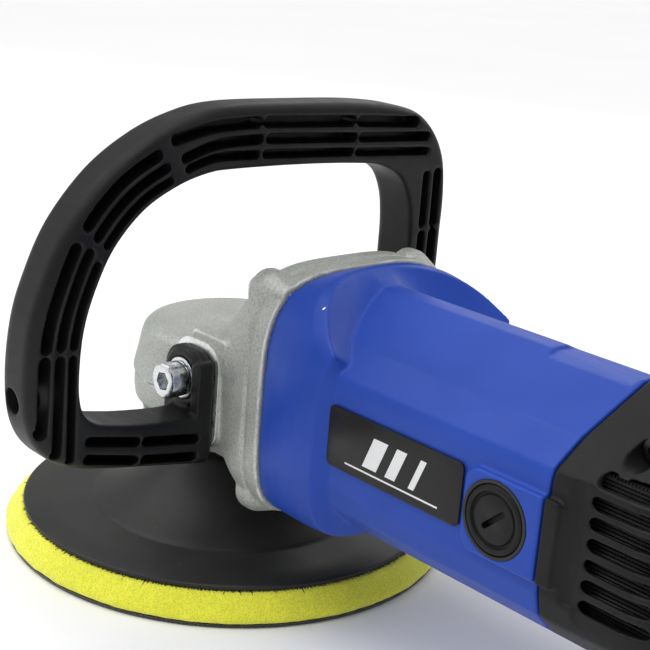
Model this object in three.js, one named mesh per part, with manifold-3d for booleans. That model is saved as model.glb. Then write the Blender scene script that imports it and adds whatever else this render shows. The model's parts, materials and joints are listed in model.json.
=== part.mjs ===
// A 180 mm rotary polisher: die-cast gear head, motor housing, in-line rear handle, D-shaped front
// handle and a foam-faced backing pad. Millimetres. The origin is on the spindle axis at the pad's
// working face; +Z runs up the spindle, +X runs back along the motor, and -Y is the tool's left.
import * as THREE from "three";
import { mergeVertices } from "three/addons/utils/BufferGeometryUtils.js";
import Module from "manifold-3d";

const wasm = await Module();
wasm.setup();

// ---- driving dimensions ----
const GAP = 0.3; // clearance between touching pieces
const MOTOR_Z = 83; // height of the motor axis
const LAY_Z = 66; // height of the intermediate shaft
const PAD_R = 90;
const DISC_R = 83; // rim of the black backing disc
const DISC_Z = 11.8; // underside of the backing disc
const HUB_TOP_Z = 36.4; // top of the backing disc's hub
const BOX_SPLIT_Z = 68; // joint between the bearing box and the gear case
const BOX_R = 40.4;
const NOSE_TOP_Z = 89;
const FLANGE_X = 70; // joint between the gear case and the motor housing
const SEAM_X = 195.6; // joint between the motor housing and the rear handle
const TAIL_X = 392; // rear end of the handle shells
const WALL = 3; // plastic wall of the housings
const CAP_X = 178.5; // brush cap axis
const CAP_R = 11;
const LABEL_X = [103.5, 163.5];
const LUG_Y = 34; // gear case screws, from the motor axis
const LUG_Z = 37;
const LUG_R = 8;
const HANDLE_X = [25, 45]; // front and rear faces of the D-handle
const FOOT_X = [20.5, 45];
const FOOT_Y = 46.3; // inner face of the handle's feet
const FOOT_OUT_Y = 50.4;
const WASHER = 1.5;
const BOLT_HEAD = 7.6;
const BOLT_X = 32.5; // handle bolt axis
const BOLT_Z = 83.5;
const BOSS_Y = 46; // machined boss that a foot sits on
const TRIGGER_PIVOT = [270, 79]; // x and z
const DIAL_AXIS = [350, 101]; // x and z
const LOCK_ON_AXIS = [300, 92]; // x and z
const SPINDLE_LOCK_Z = 71;

// ---- gears: teeth, pitch radii in mm and tooth height ----
const RING_TEETH = 30;
const BEVEL_TEETH = 10;
const RING_PITCH_R = 27;
const BEVEL_PITCH_R = 9;
const LAY_TEETH = 24;
const MOTOR_TEETH = 10;
const SPUR_MODULE = (2 * (MOTOR_Z - LAY_Z)) / (LAY_TEETH + MOTOR_TEETH);
const BEVEL_ADDENDUM = 1.1;
const BEVEL_DEDENDUM = 1.65;

// ---- solids ----
const RIGHT = Math.PI / 2;

// A closed geometry as a manifold-3d solid, facing out.
function solid(geometry) {
  const bare = geometry.clone();
  bare.deleteAttribute("normal");
  bare.deleteAttribute("uv");
  const merged = mergeVertices(bare, 1e-4);
  const points = merged.attributes.position.array;
  const corner = (i) => new THREE.Vector3().fromArray(points, 3 * i);
  let faces = [];
  let volume = 0;
  for (let i = 0; i < merged.index.count; i += 3) {
    const [a, b, c] = merged.index.array.slice(i, i + 3);
    if (a === b || b === c || c === a) continue; // a face that shrank to nothing at a pole
    faces.push([a, b, c]);
    volume += corner(a).dot(corner(b).cross(corner(c)));
  }
  if (volume < 0) faces = faces.map(([a, b, c]) => [a, c, b]);
  const mesh = new wasm.Mesh({
    numProp: 3,
    vertProperties: points,
    triVerts: new Uint32Array(faces.flat()),
  });
  return new wasm.Manifold(mesh);
}

const join = (...solids) => solids.reduce((all, next) => all.add(next));
const cut = (first, ...tools) => tools.reduce((left, tool) => left.subtract(tool), first);
const mirror = (made) => made.mirror([0, 1, 0]);

function box([x0, x1], [y0, y1], [z0, z1]) {
  const made = new THREE.BoxGeometry(x1 - x0, y1 - y0, z1 - z0);
  return solid(made.translate((x0 + x1) / 2, (y0 + y1) / 2, (z0 + z1) / 2));
}

// Turns a geometry built around Y so that it runs along the named axis.
function along(axis, geometry) {
  if (axis === "x") geometry.rotateZ(-RIGHT);
  if (axis === "z") geometry.rotateX(RIGHT);
  return geometry;
}

// A round bar from one place to another along an axis, through the point at.
function rod(axis, radius, from, to, at = [0, 0, 0], sides = 12) {
  const made = new THREE.CylinderGeometry(radius, radius, to - from, sides);
  made.translate(0, (from + to) / 2, 0);
  return solid(along(axis, made).translate(...at));
}

// A turned piece: [radius, place along the axis] pairs that start and end on the axis, or close.
function turned(axis, profile, at = [0, 0, 0], sides = 20) {
  const open = profile[0][0] === 0;
  const loop = open ? profile : [...profile, profile[0]];
  const made = new THREE.LatheGeometry(loop.map(([r, h]) => new THREE.Vector2(r, h)), sides);
  return solid(along(axis, made).translate(...at));
}

function ring(axis, inner, outer, from, to, at, sides) {
  const profile = [[inner, from], [outer, from], [outer, to], [inner, to]];
  return turned(axis, profile, at, sides);
}

// A flat shape given thickness along an axis. The shape is drawn in y,z for x and in x,z for y.
function plate(axis, shape, from, to, bevel = 0, curveSegments = 10) {
  const made = new THREE.ExtrudeGeometry(shape, {
    depth: to - from - 2 * bevel,
    bevelEnabled: bevel > 0,
    bevelSize: bevel,
    bevelThickness: bevel,
    bevelOffset: -bevel,
    bevelSegments: 1,
    curveSegments,
  });
  made.translate(0, 0, from + bevel);
  if (axis === "x") {
    made.applyMatrix4(new THREE.Matrix4().set(0, 0, 1, 0, 1, 0, 0, 0, 0, 1, 0, 0, 0, 0, 0, 1));
  }
  if (axis === "y") {
    made.applyMatrix4(new THREE.Matrix4().set(1, 0, 0, 0, 0, 0, 1, 0, 0, 1, 0, 0, 0, 0, 0, 1));
  }
  return solid(made);
}

function roundedRectangle([u0, u1], [v0, v1], radius) {
  const shape = new THREE.Shape();
  shape.absarc(u1 - radius, v1 - radius, radius, 0, RIGHT);
  shape.absarc(u0 + radius, v1 - radius, radius, RIGHT, 2 * RIGHT);
  shape.absarc(u0 + radius, v0 + radius, radius, 2 * RIGHT, 3 * RIGHT);
  shape.absarc(u1 - radius, v0 + radius, radius, 3 * RIGHT, 4 * RIGHT);
  return shape;
}

// A section is a radius for every angle, measured from +Y towards +Z.
const oval = (half, up, down, upPower, downPower = upPower) => (angle) => {
  const rising = Math.sin(angle) > 0;
  const power = rising ? upPower : downPower;
  const across = Math.abs(Math.cos(angle)) / half;
  const high = Math.abs(Math.sin(angle)) / (rising ? up : down);
  return (across ** power + high ** power) ** (-1 / power);
};
const blend = (a, b, t) => (angle) => (1 - t) * a(angle) + t * b(angle);
const inset = (section, depth) => (angle) => section(angle) - depth;

// A convex section with flats and corners: the nearest edge that a ray meets sets the radius.
const faceted = (outline) => (angle) => {
  const reaches = outline.map(([ay, az], i) => {
    const [by, bz] = outline[(i + 1) % outline.length];
    const [normalY, normalZ] = [bz - az, ay - by];
    const facing = normalY * Math.cos(angle) + normalZ * Math.sin(angle);
    return facing > 0 ? (normalY * ay + normalZ * az) / facing : Infinity;
  });
  return Math.min(...reaches);
};

// A body along X that passes through its stations: [x, centre height, section].
function loft(stations, sides = 28) {
  const last = stations.length - 1;
  const made = new THREE.CylinderGeometry(1, 1, 1, sides, last);
  const place = made.attributes.position;
  for (let i = 0; i < place.count; i++) {
    const [x, middle, section] = stations[Math.round((place.getY(i) + 0.5) * last)];
    const angle = Math.atan2(place.getX(i), place.getZ(i));
    const reach = Math.hypot(place.getX(i), place.getZ(i)) * section(angle);
    place.setXYZ(i, x, reach * Math.cos(angle), middle + reach * Math.sin(angle));
  }
  return solid(made);
}

const hollow = (stations, wall) => stations.map(([x, z, section]) => [x, z, inset(section, wall)]);

// Half of the teeth's outline repeats round the gear: root, flank and tip of each tooth.
function gearShape(teeth, root, tip, phase) {
  const shape = new THREE.Shape();
  const step = (2 * Math.PI) / teeth;
  const corners = [[root, -0.3], [tip, -0.11], [tip, 0.11], [root, 0.3]];
  for (let tooth = 0; tooth < teeth; tooth++) {
    for (const [radius, offset] of corners) {
      const angle = (tooth + offset + phase) * step;
      const point = [radius * Math.cos(angle), radius * Math.sin(angle)];
      if (tooth === 0 && offset === corners[0][1]) shape.moveTo(...point);
      else shape.lineTo(...point);
    }
  }
  shape.closePath();
  return shape;
}

// A bevel gear's toothed cone, drawn at pitch size at a distance of full from the apex, and kept
// between two distances from it. It runs along +Z, away from an apex at the origin.
function toothedCone(teeth, pitch, full, near, far, slant, phase) {
  const shape = gearShape(
    teeth,
    pitch - BEVEL_DEDENDUM * slant,
    pitch + BEVEL_ADDENDUM * slant,
    phase,
  );
  const made = new THREE.ExtrudeGeometry(shape, { depth: far - near, bevelEnabled: false });
  const place = made.attributes.position;
  for (let i = 0; i < place.count; i++) {
    const distance = near + place.getZ(i);
    const scale = distance / full;
    place.setXYZ(i, place.getX(i) * scale, place.getY(i) * scale, distance);
  }
  return made;
}

// ---- materials ----
const FINISH = {
  castAluminium: [0xa3a69c, 0.55, 0.6],
  steel: [0x8d9093, 0.35, 0.9],
  zinc: [0xc9cccf, 0.25, 1],
  bluePlastic: [0x2f50b5, 0.45, 0],
  blackPlastic: [0x262728, 0.6, 0],
  greyPlastic: [0x4a4c4e, 0.6, 0],
  rubber: [0x1f2020, 0.8, 0],
  foam: [0xf0f02c, 0.95, 0],
  hook: [0x2b2b2b, 1, 0],
  copper: [0xa8632e, 0.4, 0.9],
  brass: [0xb8964a, 0.35, 0.9],
  carbon: [0x2a2a2c, 0.8, 0.1],
  laminate: [0x6d6f72, 0.5, 0.8],
};

const polisher = new THREE.Group();

function add(name, made, finish) {
  const surface = made.getMesh();
  const geometry = new THREE.BufferGeometry();
  geometry.setAttribute("position", new THREE.BufferAttribute(surface.vertProperties, 3));
  geometry.setIndex(new THREE.BufferAttribute(surface.triVerts, 1));
  geometry.computeVertexNormals();
  const [color, roughness, metalness] = FINISH[finish];
  const material = new THREE.MeshStandardMaterial({ color, roughness, metalness });
  const mesh = new THREE.Mesh(geometry, material);
  mesh.name = name;
  polisher.add(mesh);
}

// ---- sections of the motor housing and the rear handle ----
const FLANGE_SECTION = oval(44.7, 45, 44, 3.7, 4.5);
const BULGE_SECTION = oval(47, 46, 43.7, 3.3, 4.2);
const TOP_R = 41.5;
const topArc = [60, 75, 90, 105, 120].map((degrees) => {
  const angle = THREE.MathUtils.degToRad(degrees);
  return [TOP_R * Math.cos(angle), TOP_R * Math.sin(angle)];
});
const leftSide = [[-25, 33.2], [-37, 26.5], [-41.5, 24.5], [-43, 18], [-43, -17], [-41, -25], [-34, -32]];
const underside = [[-24, -38.5], [-10, -41], [10, -41], [24, -38.5]];
const rightSide = leftSide.map(([y, z]) => [-y, z]).reverse();
const BODY_SECTION = faceted([...topArc, ...leftSide, ...underside, ...rightSide]);

// ---- backing pad ----
add("hook_layer", turned("z", [[0, 0], [88, 0], [88.8, 0.5], [88.8, 1.3], [0, 1.3]], undefined, 40), "hook");
const foamEdge = [[88.8, 1.6], [PAD_R, 3], [89.4, 5.4], [84.6, 11.5]];
add("foam_layer", turned("z", [[0, 1.6], ...foamEdge, [0, 11.5]], undefined, 40), "foam");
const discRim = [[20.4, DISC_Z], [DISC_R - 0.4, DISC_Z], [DISC_R, 13.2], [DISC_R - 1, 14]];
const discCone = [[55.5, 13.6], [54, 15.2], [43, 19.6], [30, 28], [20.5, 34.8]];
add(
  "backing_pad",
  turned(
    "z",
    [[13.3, 15.9], [20.4, 15.9], ...discRim, ...discCone, [18.5, HUB_TOP_Z], [13.3, HUB_TOP_Z]],
    undefined,
    40,
  ),
  "rubber",
);
add(
  "pad_insert",
  turned("z", [[7.1, 12.9], [20, 12.9], [20, 15.6], [13, 15.6], [13, HUB_TOP_Z], [7.1, HUB_TOP_Z]]),
  "zinc",
);

// ---- spindle and its bearings ----
const spindleProfile = [
  [0, 17], [5.8, 17], [6.8, 18], [6.8, 36.6], [10, 36.8], [10, 41.9], [6, 41.9], [6, SPINDLE_LOCK_Z - 4],
  [8, SPINDLE_LOCK_Z - 4], [8, SPINDLE_LOCK_Z + 2.4], [5, SPINDLE_LOCK_Z + 2.4], [5, 83.6], [0, 83.6],
];
const lockHole = rod("y", 2.7, -9, 9, [0, 0, SPINDLE_LOCK_Z], 8);
const lockHoleAcross = rod("x", 2.7, -9, 9, [0, 0, SPINDLE_LOCK_Z], 8);
const spannerFlat = box([-12, 12], [8.5, 12], [36, 41.8]);
add(
  "spindle",
  cut(turned("z", spindleProfile, undefined, 16), lockHole, lockHoleAcross, spannerFlat, mirror(spannerFlat)),
  "steel",
);
add("spindle_lower_bearing", ring("z", 6.3, 16, 42.3, 52), "steel");
add("spindle_upper_bearing", ring("z", 5.3, 9, 74.4, 84), "steel");

const ringSlant = RING_PITCH_R / BEVEL_PITCH_R;
const ringCone = toothedCone(RING_TEETH, RING_PITCH_R, BEVEL_PITCH_R, 5.4, 12, Math.hypot(1, ringSlant), 0);
ringCone.rotateX(2 * RIGHT).translate(0, 0, LAY_Z);
const ringBlank = turned(
  "z",
  [[6.2, 52.6], [30.3, 52.6], [30.3, 60.6], [6.2, 60.6]],
  undefined,
  30,
);
add("bevel_ring_gear", join(solid(ringCone).intersect(ringBlank), ring("z", 6.2, 14, 52.6, 60.6)), "steel");

// ---- intermediate shaft with its bevel pinion, and the gear that drives it ----
const layAt = [0, 0, LAY_Z];
const pinionCone = toothedCone(
  BEVEL_TEETH,
  BEVEL_PITCH_R,
  RING_PITCH_R,
  18,
  RING_PITCH_R,
  Math.hypot(1, 1 / ringSlant),
  0.5,
);
pinionCone.rotateY(RIGHT).translate(...layAt);
const layProfile = [
  [0, 16.5], [4, 16.5], [4, 25], [6, 27], [6, 42], [5, 42], [5, 61.4], [4, 61.4], [4, 66.2], [0, 66.2],
];
add("pinion_shaft", join(solid(pinionCone), turned("x", layProfile, layAt, 16)), "steel");
add("pinion_bearing", ring("x", 5.3, 13, 43.5, 51.5, layAt), "steel");
add("pinion_shaft_rear_bush", ring("x", 4.3, 6.2, 62.6, 66.4, layAt, 20), "brass");

const spurPitch = (teeth) => (teeth * SPUR_MODULE) / 2;
function spurGear(teeth, phase, from, to, z) {
  const pitch = spurPitch(teeth);
  const shape = gearShape(teeth, pitch - 1.2 * SPUR_MODULE, pitch + 0.8 * SPUR_MODULE, phase);
  return plate("x", shape, from, to).translate([0, 0, z]);
}
add(
  "reduction_gear",
  cut(spurGear(LAY_TEETH, 0, 53.4, 61, LAY_Z), rod("x", 5.3, 53, 62, layAt)),
  "steel",
);

// ---- motor ----
const motorAt = [0, 0, MOTOR_Z];
const shaftProfile = [
  [0, 52.6], [3.2, 52.6], [3.2, 62.2], [5, 63.6], [5, 188], [4, 188], [4, 197.4], [0, 197.4],
];
add(
  "armature_shaft",
  join(spurGear(MOTOR_TEETH, 0, 53.4, 63, MOTOR_Z), turned("x", shaftProfile, motorAt, 16)),
  "steel",
);
const coreProfile = [[5.3, 102], [14, 102], [19, 106], [19, 111], [23, 111], [23, 152], [19, 152], [19, 157]];
add("armature_core", turned("x", [...coreProfile, [13, 161], [5.3, 161]], motorAt), "laminate");
add("commutator", ring("x", 5.3, 13, 165, 185, motorAt), "copper");
add("motor_front_bearing", ring("x", 5.3, 13, 67.3, 75.2, motorAt), "steel");
add("motor_rear_bearing", ring("x", 4.3, 11, 189.2, 196, motorAt), "steel");
add("stator", ring("x", 24.5, 35, 109, 155, motorAt), "laminate");

const FAN_BLADES = 12;
let fan = join(
  ring("x", 5.3, 10, 79, 92, motorAt, 16),
  ring("x", 9, 38, 90, 92, motorAt, 24),
);
for (let blade = 0; blade < FAN_BLADES; blade++) {
  const vane = box([80, 91], [9, 37.5], [-0.8, 0.8]);
  fan = fan.add(vane.rotate([(360 * blade) / FAN_BLADES, 0, 0]).translate(motorAt));
}
add("cooling_fan", fan, "greyPlastic");
add("fan_baffle", ring("x", 27, 39.4, 95, 97, motorAt, 24), "blackPlastic");

// ---- brushes, their holders and caps: one of each on either side ----
const brush = box([CAP_X - 3, CAP_X + 3], [13.4, 26], [MOTOR_Z - 4, MOTOR_Z + 4]);
const holder = cut(
  box([CAP_X - 4.8, CAP_X + 4.8], [15, 30.5], [MOTOR_Z - 6, MOTOR_Z + 6]),
  box([CAP_X - 3.3, CAP_X + 3.3], [14, 31], [MOTOR_Z - 4.3, MOTOR_Z + 4.3]),
);
const capSlot = box([-5.2, 5.2], [44.8, 50], [-1.1, 1.1]).rotate([0, -45, 0]);
const capProfile = [
  [0, 31.4], [8.4, 31.4], [8.4, 43.4], [CAP_R, 43.4], [CAP_R, 46.3], [CAP_R - 2, 46.3], [CAP_R - 2, 45.7],
  [0, 45.7],
];
const brushCap = cut(
  turned("y", capProfile, [CAP_X, 0, MOTOR_Z], 20),
  capSlot.translate([CAP_X, 0, MOTOR_Z]),
);
for (const [side, place] of [["right", (made) => made], ["left", mirror]]) {
  add("carbon_brush_" + side, place(brush), "carbon");
  add("brush_holder_" + side, place(holder), "brass");
  add("brush_cap_" + side, place(brushCap), "blackPlastic");
}

// ---- gear case ----
const corners = [[-1, -1], [-1, 1], [1, -1], [1, 1]];
const BOX_SCREW = 25.5; // bearing box screws, along x and y from the spindle
const noseProfile = [
  [0, BOX_SPLIT_Z + GAP], [41, BOX_SPLIT_Z + GAP], [41, 69.6], [39.6, 76], [38.2, 83.5], [36.8, 87],
  [33.5, NOSE_TOP_Z], [0, NOSE_TOP_Z],
];
const neck = loft([
  [10, 75, oval(36, 13.5, 8, 4)],
  [22, 76, oval(41, 15, 10, 4)],
  [32, 78, oval(43.5, 21, 30, 3.4)],
  [42, 82, oval(44.5, 32, 38, 3.2)],
  [50, MOTOR_Z, oval(45, 42.5, 42, 3.4, 4.2)],
  [56, MOTOR_Z, oval(46, 46, 44.6, 3.6, 4.4)],
  [FLANGE_X - GAP, MOTOR_Z, oval(46, 46, 44.6, 3.7, 4.5)],
]);
let gearCase = join(turned("z", noseProfile, undefined, 28), neck);
for (const [side, level] of corners) {
  const lug = rod("x", LUG_R, 55, FLANGE_X - GAP, [0, side * LUG_Y, MOTOR_Z + level * LUG_Z], 12);
  gearCase = gearCase.add(lug);
}
const boss = plate("y", roundedRectangle([FOOT_X[0], 46.4], [57, 97], 9), 30, BOSS_Y, 0, 3);
gearCase = join(gearCase, boss, mirror(boss));
gearCase = cut(
  gearCase,
  rod("z", BOX_R + 0.7, 20, BOX_SPLIT_Z + GAP, undefined, 28),
  turned("z", [[0, 67], [36.6, 67], [34, 84.6], [0, 84.6]], undefined, 20),
  box([0, 43], [-20, 20], [54, 84.6]),
  loft([
    [52, MOTOR_Z, oval(39, 38, 36, 3)],
    [FLANGE_X, MOTOR_Z, oval(41.5, 41.5, 40, 3.5)],
  ], 20),
);
gearCase = gearCase.add(rod("z", 12.5, 73.8, 86)); // upper spindle bearing's seat
for (const [side, level] of corners) {
  gearCase = gearCase.add(rod("z", 4.6, BOX_SPLIT_Z + GAP, 80, [side * BOX_SCREW, level * BOX_SCREW, 0], 8));
  const lugCore = rod("x", 7, 55, FLANGE_X - GAP, [0, side * LUG_Y, MOTOR_Z + level * LUG_Z], 8);
  gearCase = gearCase.add(lugCore);
}
for (const [side, level] of corners) {
  gearCase = cut(
    gearCase,
    rod("z", 2.4, 60, 76, [side * BOX_SCREW, level * BOX_SCREW, 0], 8),
    rod("x", 2.9, 45, 75, [0, side * LUG_Y, MOTOR_Z + level * LUG_Z], 8),
    rod("x", 5.2, 30, 55, [0, side * LUG_Y, MOTOR_Z + level * LUG_Z], 10),
  );
}
const boltHole = rod("y", 4.3, 27, 50, [BOLT_X, 0, BOLT_Z], 16);
gearCase = cut(
  gearCase,
  rod("z", 9.3, 70, 84.3, undefined, 20),
  rod("x", 13.3, 42, 53, layAt, 20),
  boltHole,
  mirror(boltHole),
  rod("y", 2.7, 0, 60, [0, 0, SPINDLE_LOCK_Z], 10),
  rod("y", 6.2, 37.2, 60, [0, 0, SPINDLE_LOCK_Z + 4.5]),
);
add("gear_case", gearCase, "castAluminium");

// ---- bearing box under the gear case ----
let bearingBox = turned(
  "z",
  [
    [12, 40.5], [24, 40.5], [28, 48], [35.2, 53.2], [40, 58], [BOX_R, BOX_SPLIT_Z], [36.6, BOX_SPLIT_Z],
    [36.6, 58], [31.4, 52.3], [16.4, 52.3], [16.4, 42], [12, 42],
  ],
  undefined,
  28,
);
for (const [along, across] of corners) {
  const at = [along * BOX_SCREW, across * BOX_SCREW, 0];
  bearingBox = join(bearingBox, rod("z", 4.4, 57, BOX_SPLIT_Z, at, 8));
  bearingBox = cut(bearingBox, rod("z", 2.4, 50, 70, at, 8), rod("z", 4.1, 48, 57.3, at, 8));
}
bearingBox = cut(bearingBox, box([28, 42], [-7, 7], [58.8, 70]));
add("bearing_box", bearingBox, "castAluminium");

// ---- bearing plate between the gear case and the motor ----
add(
  "bearing_plate",
  cut(
    join(
      loft([
        [62.6, MOTOR_Z, oval(38, 37, 35, 3.2)],
        [FLANGE_X - GAP, MOTOR_Z, oval(38, 37, 35, 3.2)],
      ], 20),
      rod("x", 17, 66, 76, motorAt),
    ),
    rod("x", 13.3, 67, 77, motorAt, 20),
    rod("x", 7, 60, 70, motorAt),
    rod("x", 6.5, 60, 66.8, layAt, 20),
  ),
  "castAluminium",
);

// ---- screws ----
function capScrew(axis, head, headFrom, headTo, shank, tip, at, sides = 8) {
  const made = turned(
    axis,
    [[0, headFrom], [head, headFrom], [head, headTo], [shank, headTo], [shank, tip], [0, tip]],
    at,
    sides,
  );
  const hex = rod(axis, head * 0.5, headFrom - 1, headFrom + (headTo - headFrom) * 0.5, at, 6);
  return cut(made, hex);
}
corners.forEach(([side, level], i) => {
  const caseAt = [0, side * LUG_Y, MOTOR_Z + level * LUG_Z];
  add("gear_case_screw_" + (i + 1), capScrew("x", 4.6, 50.4, 54.7, 2.5, 88, caseAt), "zinc");
  const boxAt = [side * BOX_SCREW, level * BOX_SCREW, 0];
  add("bearing_box_screw_" + (i + 1), capScrew("z", 3.5, 53.8, 57, 2, 75, boxAt), "zinc");
});

// ---- motor housing ----
const housingStations = [
  [FLANGE_X, MOTOR_Z, FLANGE_SECTION],
  [78, MOTOR_Z, BULGE_SECTION],
  [91, MOTOR_Z, BULGE_SECTION],
  [96, MOTOR_Z, blend(BULGE_SECTION, BODY_SECTION, 0.35)],
  [100, MOTOR_Z, blend(BULGE_SECTION, BODY_SECTION, 0.9)],
  [103, MOTOR_Z, BODY_SECTION],
  [SEAM_X - GAP, MOTOR_Z, BODY_SECTION],
];
const housingBore = hollow(housingStations, WALL);
housingBore[0][0] -= 1;
housingBore[housingBore.length - 1][0] += 1;
const platform = plate("y", roundedRectangle([166, SEAM_X - GAP], [69.5, 96.5], 4), 41, 45.8, 0, 2);
const capBoss = rod("y", 13, 31, 43, [CAP_X, 0, MOTOR_Z]);
const capBore = join(
  rod("y", 8.8, 30.8, 50, [CAP_X, 0, MOTOR_Z]),
  rod("y", CAP_R + 0.5, 43.1, 50, [CAP_X, 0, MOTOR_Z], 20),
);
let housing = cut(loft(housingStations), loft(housingBore, 24));
housing = join(housing, platform, mirror(platform), capBoss, mirror(capBoss));
housing = join(
  housing,
  rod("x", 14.5, 188, SEAM_X - GAP, motorAt),
  box([189, 193], [-41.5, 41.5], [MOTOR_Z - 3, MOTOR_Z + 3]),
  box([189, 193], [-3, 3], [MOTOR_Z - 39, MOTOR_Z + 40]),
);
for (const [side, level] of corners) {
  housing = housing.add(rod("x", 6.2, FLANGE_X, 92, [0, side * LUG_Y, MOTOR_Z + level * LUG_Z], 8));
}
housing = housing.intersect(join(loft(housingStations), platform, mirror(platform)));
for (const [side, level] of corners) {
  housing = cut(housing, rod("x", 2.9, 60, 90, [0, side * LUG_Y, MOTOR_Z + level * LUG_Z], 8));
}
housing = cut(
  housing,
  capBore,
  mirror(capBore),
  rod("x", 11.3, 189, 200, motorAt, 20),
  rod("x", 6, 180, 200, motorAt),
);
add("motor_housing", housing, "bluePlastic");

const label = box([LABEL_X[0], LABEL_X[1]], [43.3, 44], [74, 95]);
add("label_plate_right", label, "blackPlastic");
add("label_plate_left", mirror(label), "blackPlastic");

// ---- rear handle: two shells that meet on the centre plane ----
const handleStations = [
  [SEAM_X, MOTOR_Z, BODY_SECTION],
  [222, MOTOR_Z, inset(BODY_SECTION, 0.8)],
  [236, MOTOR_Z + 1, blend(BODY_SECTION, oval(33, 31, 29, 2.6), 0.5)],
  [250, MOTOR_Z + 4, oval(28, 27, 22, 2.6)],
  [266, MOTOR_Z + 6, oval(21, 21.5, 18, 2.6)],
  [300, MOTOR_Z + 6, oval(19.5, 19.5, 17, 2.6)],
  [335, MOTOR_Z + 6, oval(20, 20, 17.5, 2.6)],
  [366, MOTOR_Z + 6, oval(23, 23, 21, 2.8)],
  [384, MOTOR_Z + 6, oval(24, 24, 22.5, 2.8)],
  [390, MOTOR_Z + 6, oval(22.5, 22.5, 21, 2.6)],
  [TAIL_X, MOTOR_Z + 6, oval(19, 19, 18, 2.4)],
];
const boreStations = [0, 1, 2, 3, 4, 6, 7, 8].map((i) => [...handleStations[i]]);
const handleBore = hollow(boreStations, WALL - 0.4);
handleBore[0][0] -= 1;
const tailZ = handleStations[handleStations.length - 1][1];
const [dialX, dialZ] = DIAL_AXIS;
const [lockX, lockZ] = LOCK_ON_AXIS;
const DIAL_R = 12;
const VENT_Z = [0, 1, 2, 3, 4, 5, 6].map((i) => 106 - 6.4 * i);
let handle = cut(loft(handleStations), loft(handleBore, 20));
const switchShelf = box([276, 279], [-17, 17], [MOTOR_Z - 4, MOTOR_Z + 22]);
handle = join(handle, switchShelf.intersect(loft(handleStations)));
handle = cut(
  handle,
  box([TRIGGER_PIVOT[0] - 7, 324], [-7.6, 7.6], [50, 82]),
  box([dialX - DIAL_R - 1, dialX + DIAL_R + 1], [-3.3, 3.3], [dialZ - DIAL_R - 1, 130]),
  rod("x", 7.3, TAIL_X - 14, TAIL_X + 5, [0, 0, tailZ]),
  rod("y", 5.3, -30, -8, [lockX, 0, lockZ], 16),
);
for (const z of VENT_Z) {
  const vent = box([210.5, 229], [28, 50], [z - 2, z + 2]);
  handle = cut(handle, vent, mirror(vent));
}
const SHELL_SCREWS = [[215, 113], [256, 95], [371, 78]]; // x and z
for (const [x, z] of SHELL_SCREWS) {
  handle = handle.add(rod("y", 5.8, -40, 40, [x, 0, z], 8).intersect(loft(handleStations)));
}
const headDepth = [22, 20, 18]; // how far from the centre plane each screw head sits
SHELL_SCREWS.forEach(([x, z], i) => {
  handle = cut(
    handle,
    rod("y", 4.4, -60, -headDepth[i], [x, 0, z], 12),
    rod("y", 2.3, -60, 14, [x, 0, z], 8),
  );
});
add("rear_handle_left", handle.intersect(box([150, 420], [-60, -GAP / 2], [0, 160])), "blackPlastic");
add("rear_handle_right", handle.intersect(box([150, 420], [GAP / 2, 60], [0, 160])), "blackPlastic");
SHELL_SCREWS.forEach(([x, z], i) => {
  const top = -headDepth[i];
  const screw = capScrew("y", 3.9, top - 2.6, top - GAP, 1.8, 12, [x, 0, z]);
  add("handle_shell_screw_" + (i + 1), screw, "zinc");
});

// ---- switch, trigger, lock-on button, speed dial and cord gland ----
const [pivotX, pivotZ] = TRIGGER_PIVOT;
add("switch_body", box([282, 320], [-9, 9], [MOTOR_Z + 1, MOTOR_Z + 20]), "greyPlastic");
const triggerShape = new THREE.Shape();
triggerShape.moveTo(pivotX - 4, pivotZ - 2);
triggerShape.absarc(pivotX, pivotZ - 2, 4, Math.PI, 0, true);
triggerShape.lineTo(278, 77);
triggerShape.lineTo(318, 77);
triggerShape.lineTo(319, 66);
triggerShape.quadraticCurveTo(317, 61, 310, 61.5);
triggerShape.quadraticCurveTo(292, 64.5, 276, 61);
triggerShape.quadraticCurveTo(268, 59, pivotX - 5, 66);
triggerShape.closePath();
add("trigger", plate("y", triggerShape, -7.2, 7.2, 0, 6), "blackPlastic");
add("lock_on_button", rod("y", 5, -22.6, -12.5, [lockX, 0, lockZ], 16), "blackPlastic");
const DIAL_RIBS = 24;
const dialShape = new THREE.Shape();
for (let rib = 0; rib < 2 * DIAL_RIBS; rib++) {
  const angle = (Math.PI * rib) / DIAL_RIBS;
  const radius = DIAL_R - (rib % 2) * 0.8;
  const point = [dialX + radius * Math.cos(angle), dialZ + radius * Math.sin(angle)];
  if (rib === 0) dialShape.moveTo(...point);
  else dialShape.lineTo(...point);
}
add("speed_dial", plate("y", dialShape, -2.8, 2.8), "greyPlastic");
add(
  "cord_gland",
  turned(
    "x",
    [[3.6, TAIL_X - 10.5], [10, TAIL_X - 10.5], [10, TAIL_X - 8.4], [7, TAIL_X - 8.4], [7, TAIL_X + GAP],
      [9.5, TAIL_X + GAP], [8, TAIL_X + 8], [3.6, TAIL_X + 8]],
    [0, 0, tailZ],
    16,
  ),
  "rubber",
);

// ---- spindle lock button on the right of the gear case ----
add(
  "spindle_lock_button",
  join(
    rod("y", 2.2, 9.4, 42, [0, 0, SPINDLE_LOCK_Z], 10),
    rod("y", 5.8, 41.5, 46.5, [0, 0, SPINDLE_LOCK_Z + 4.5]),
  ),
  "blackPlastic",
);

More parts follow.
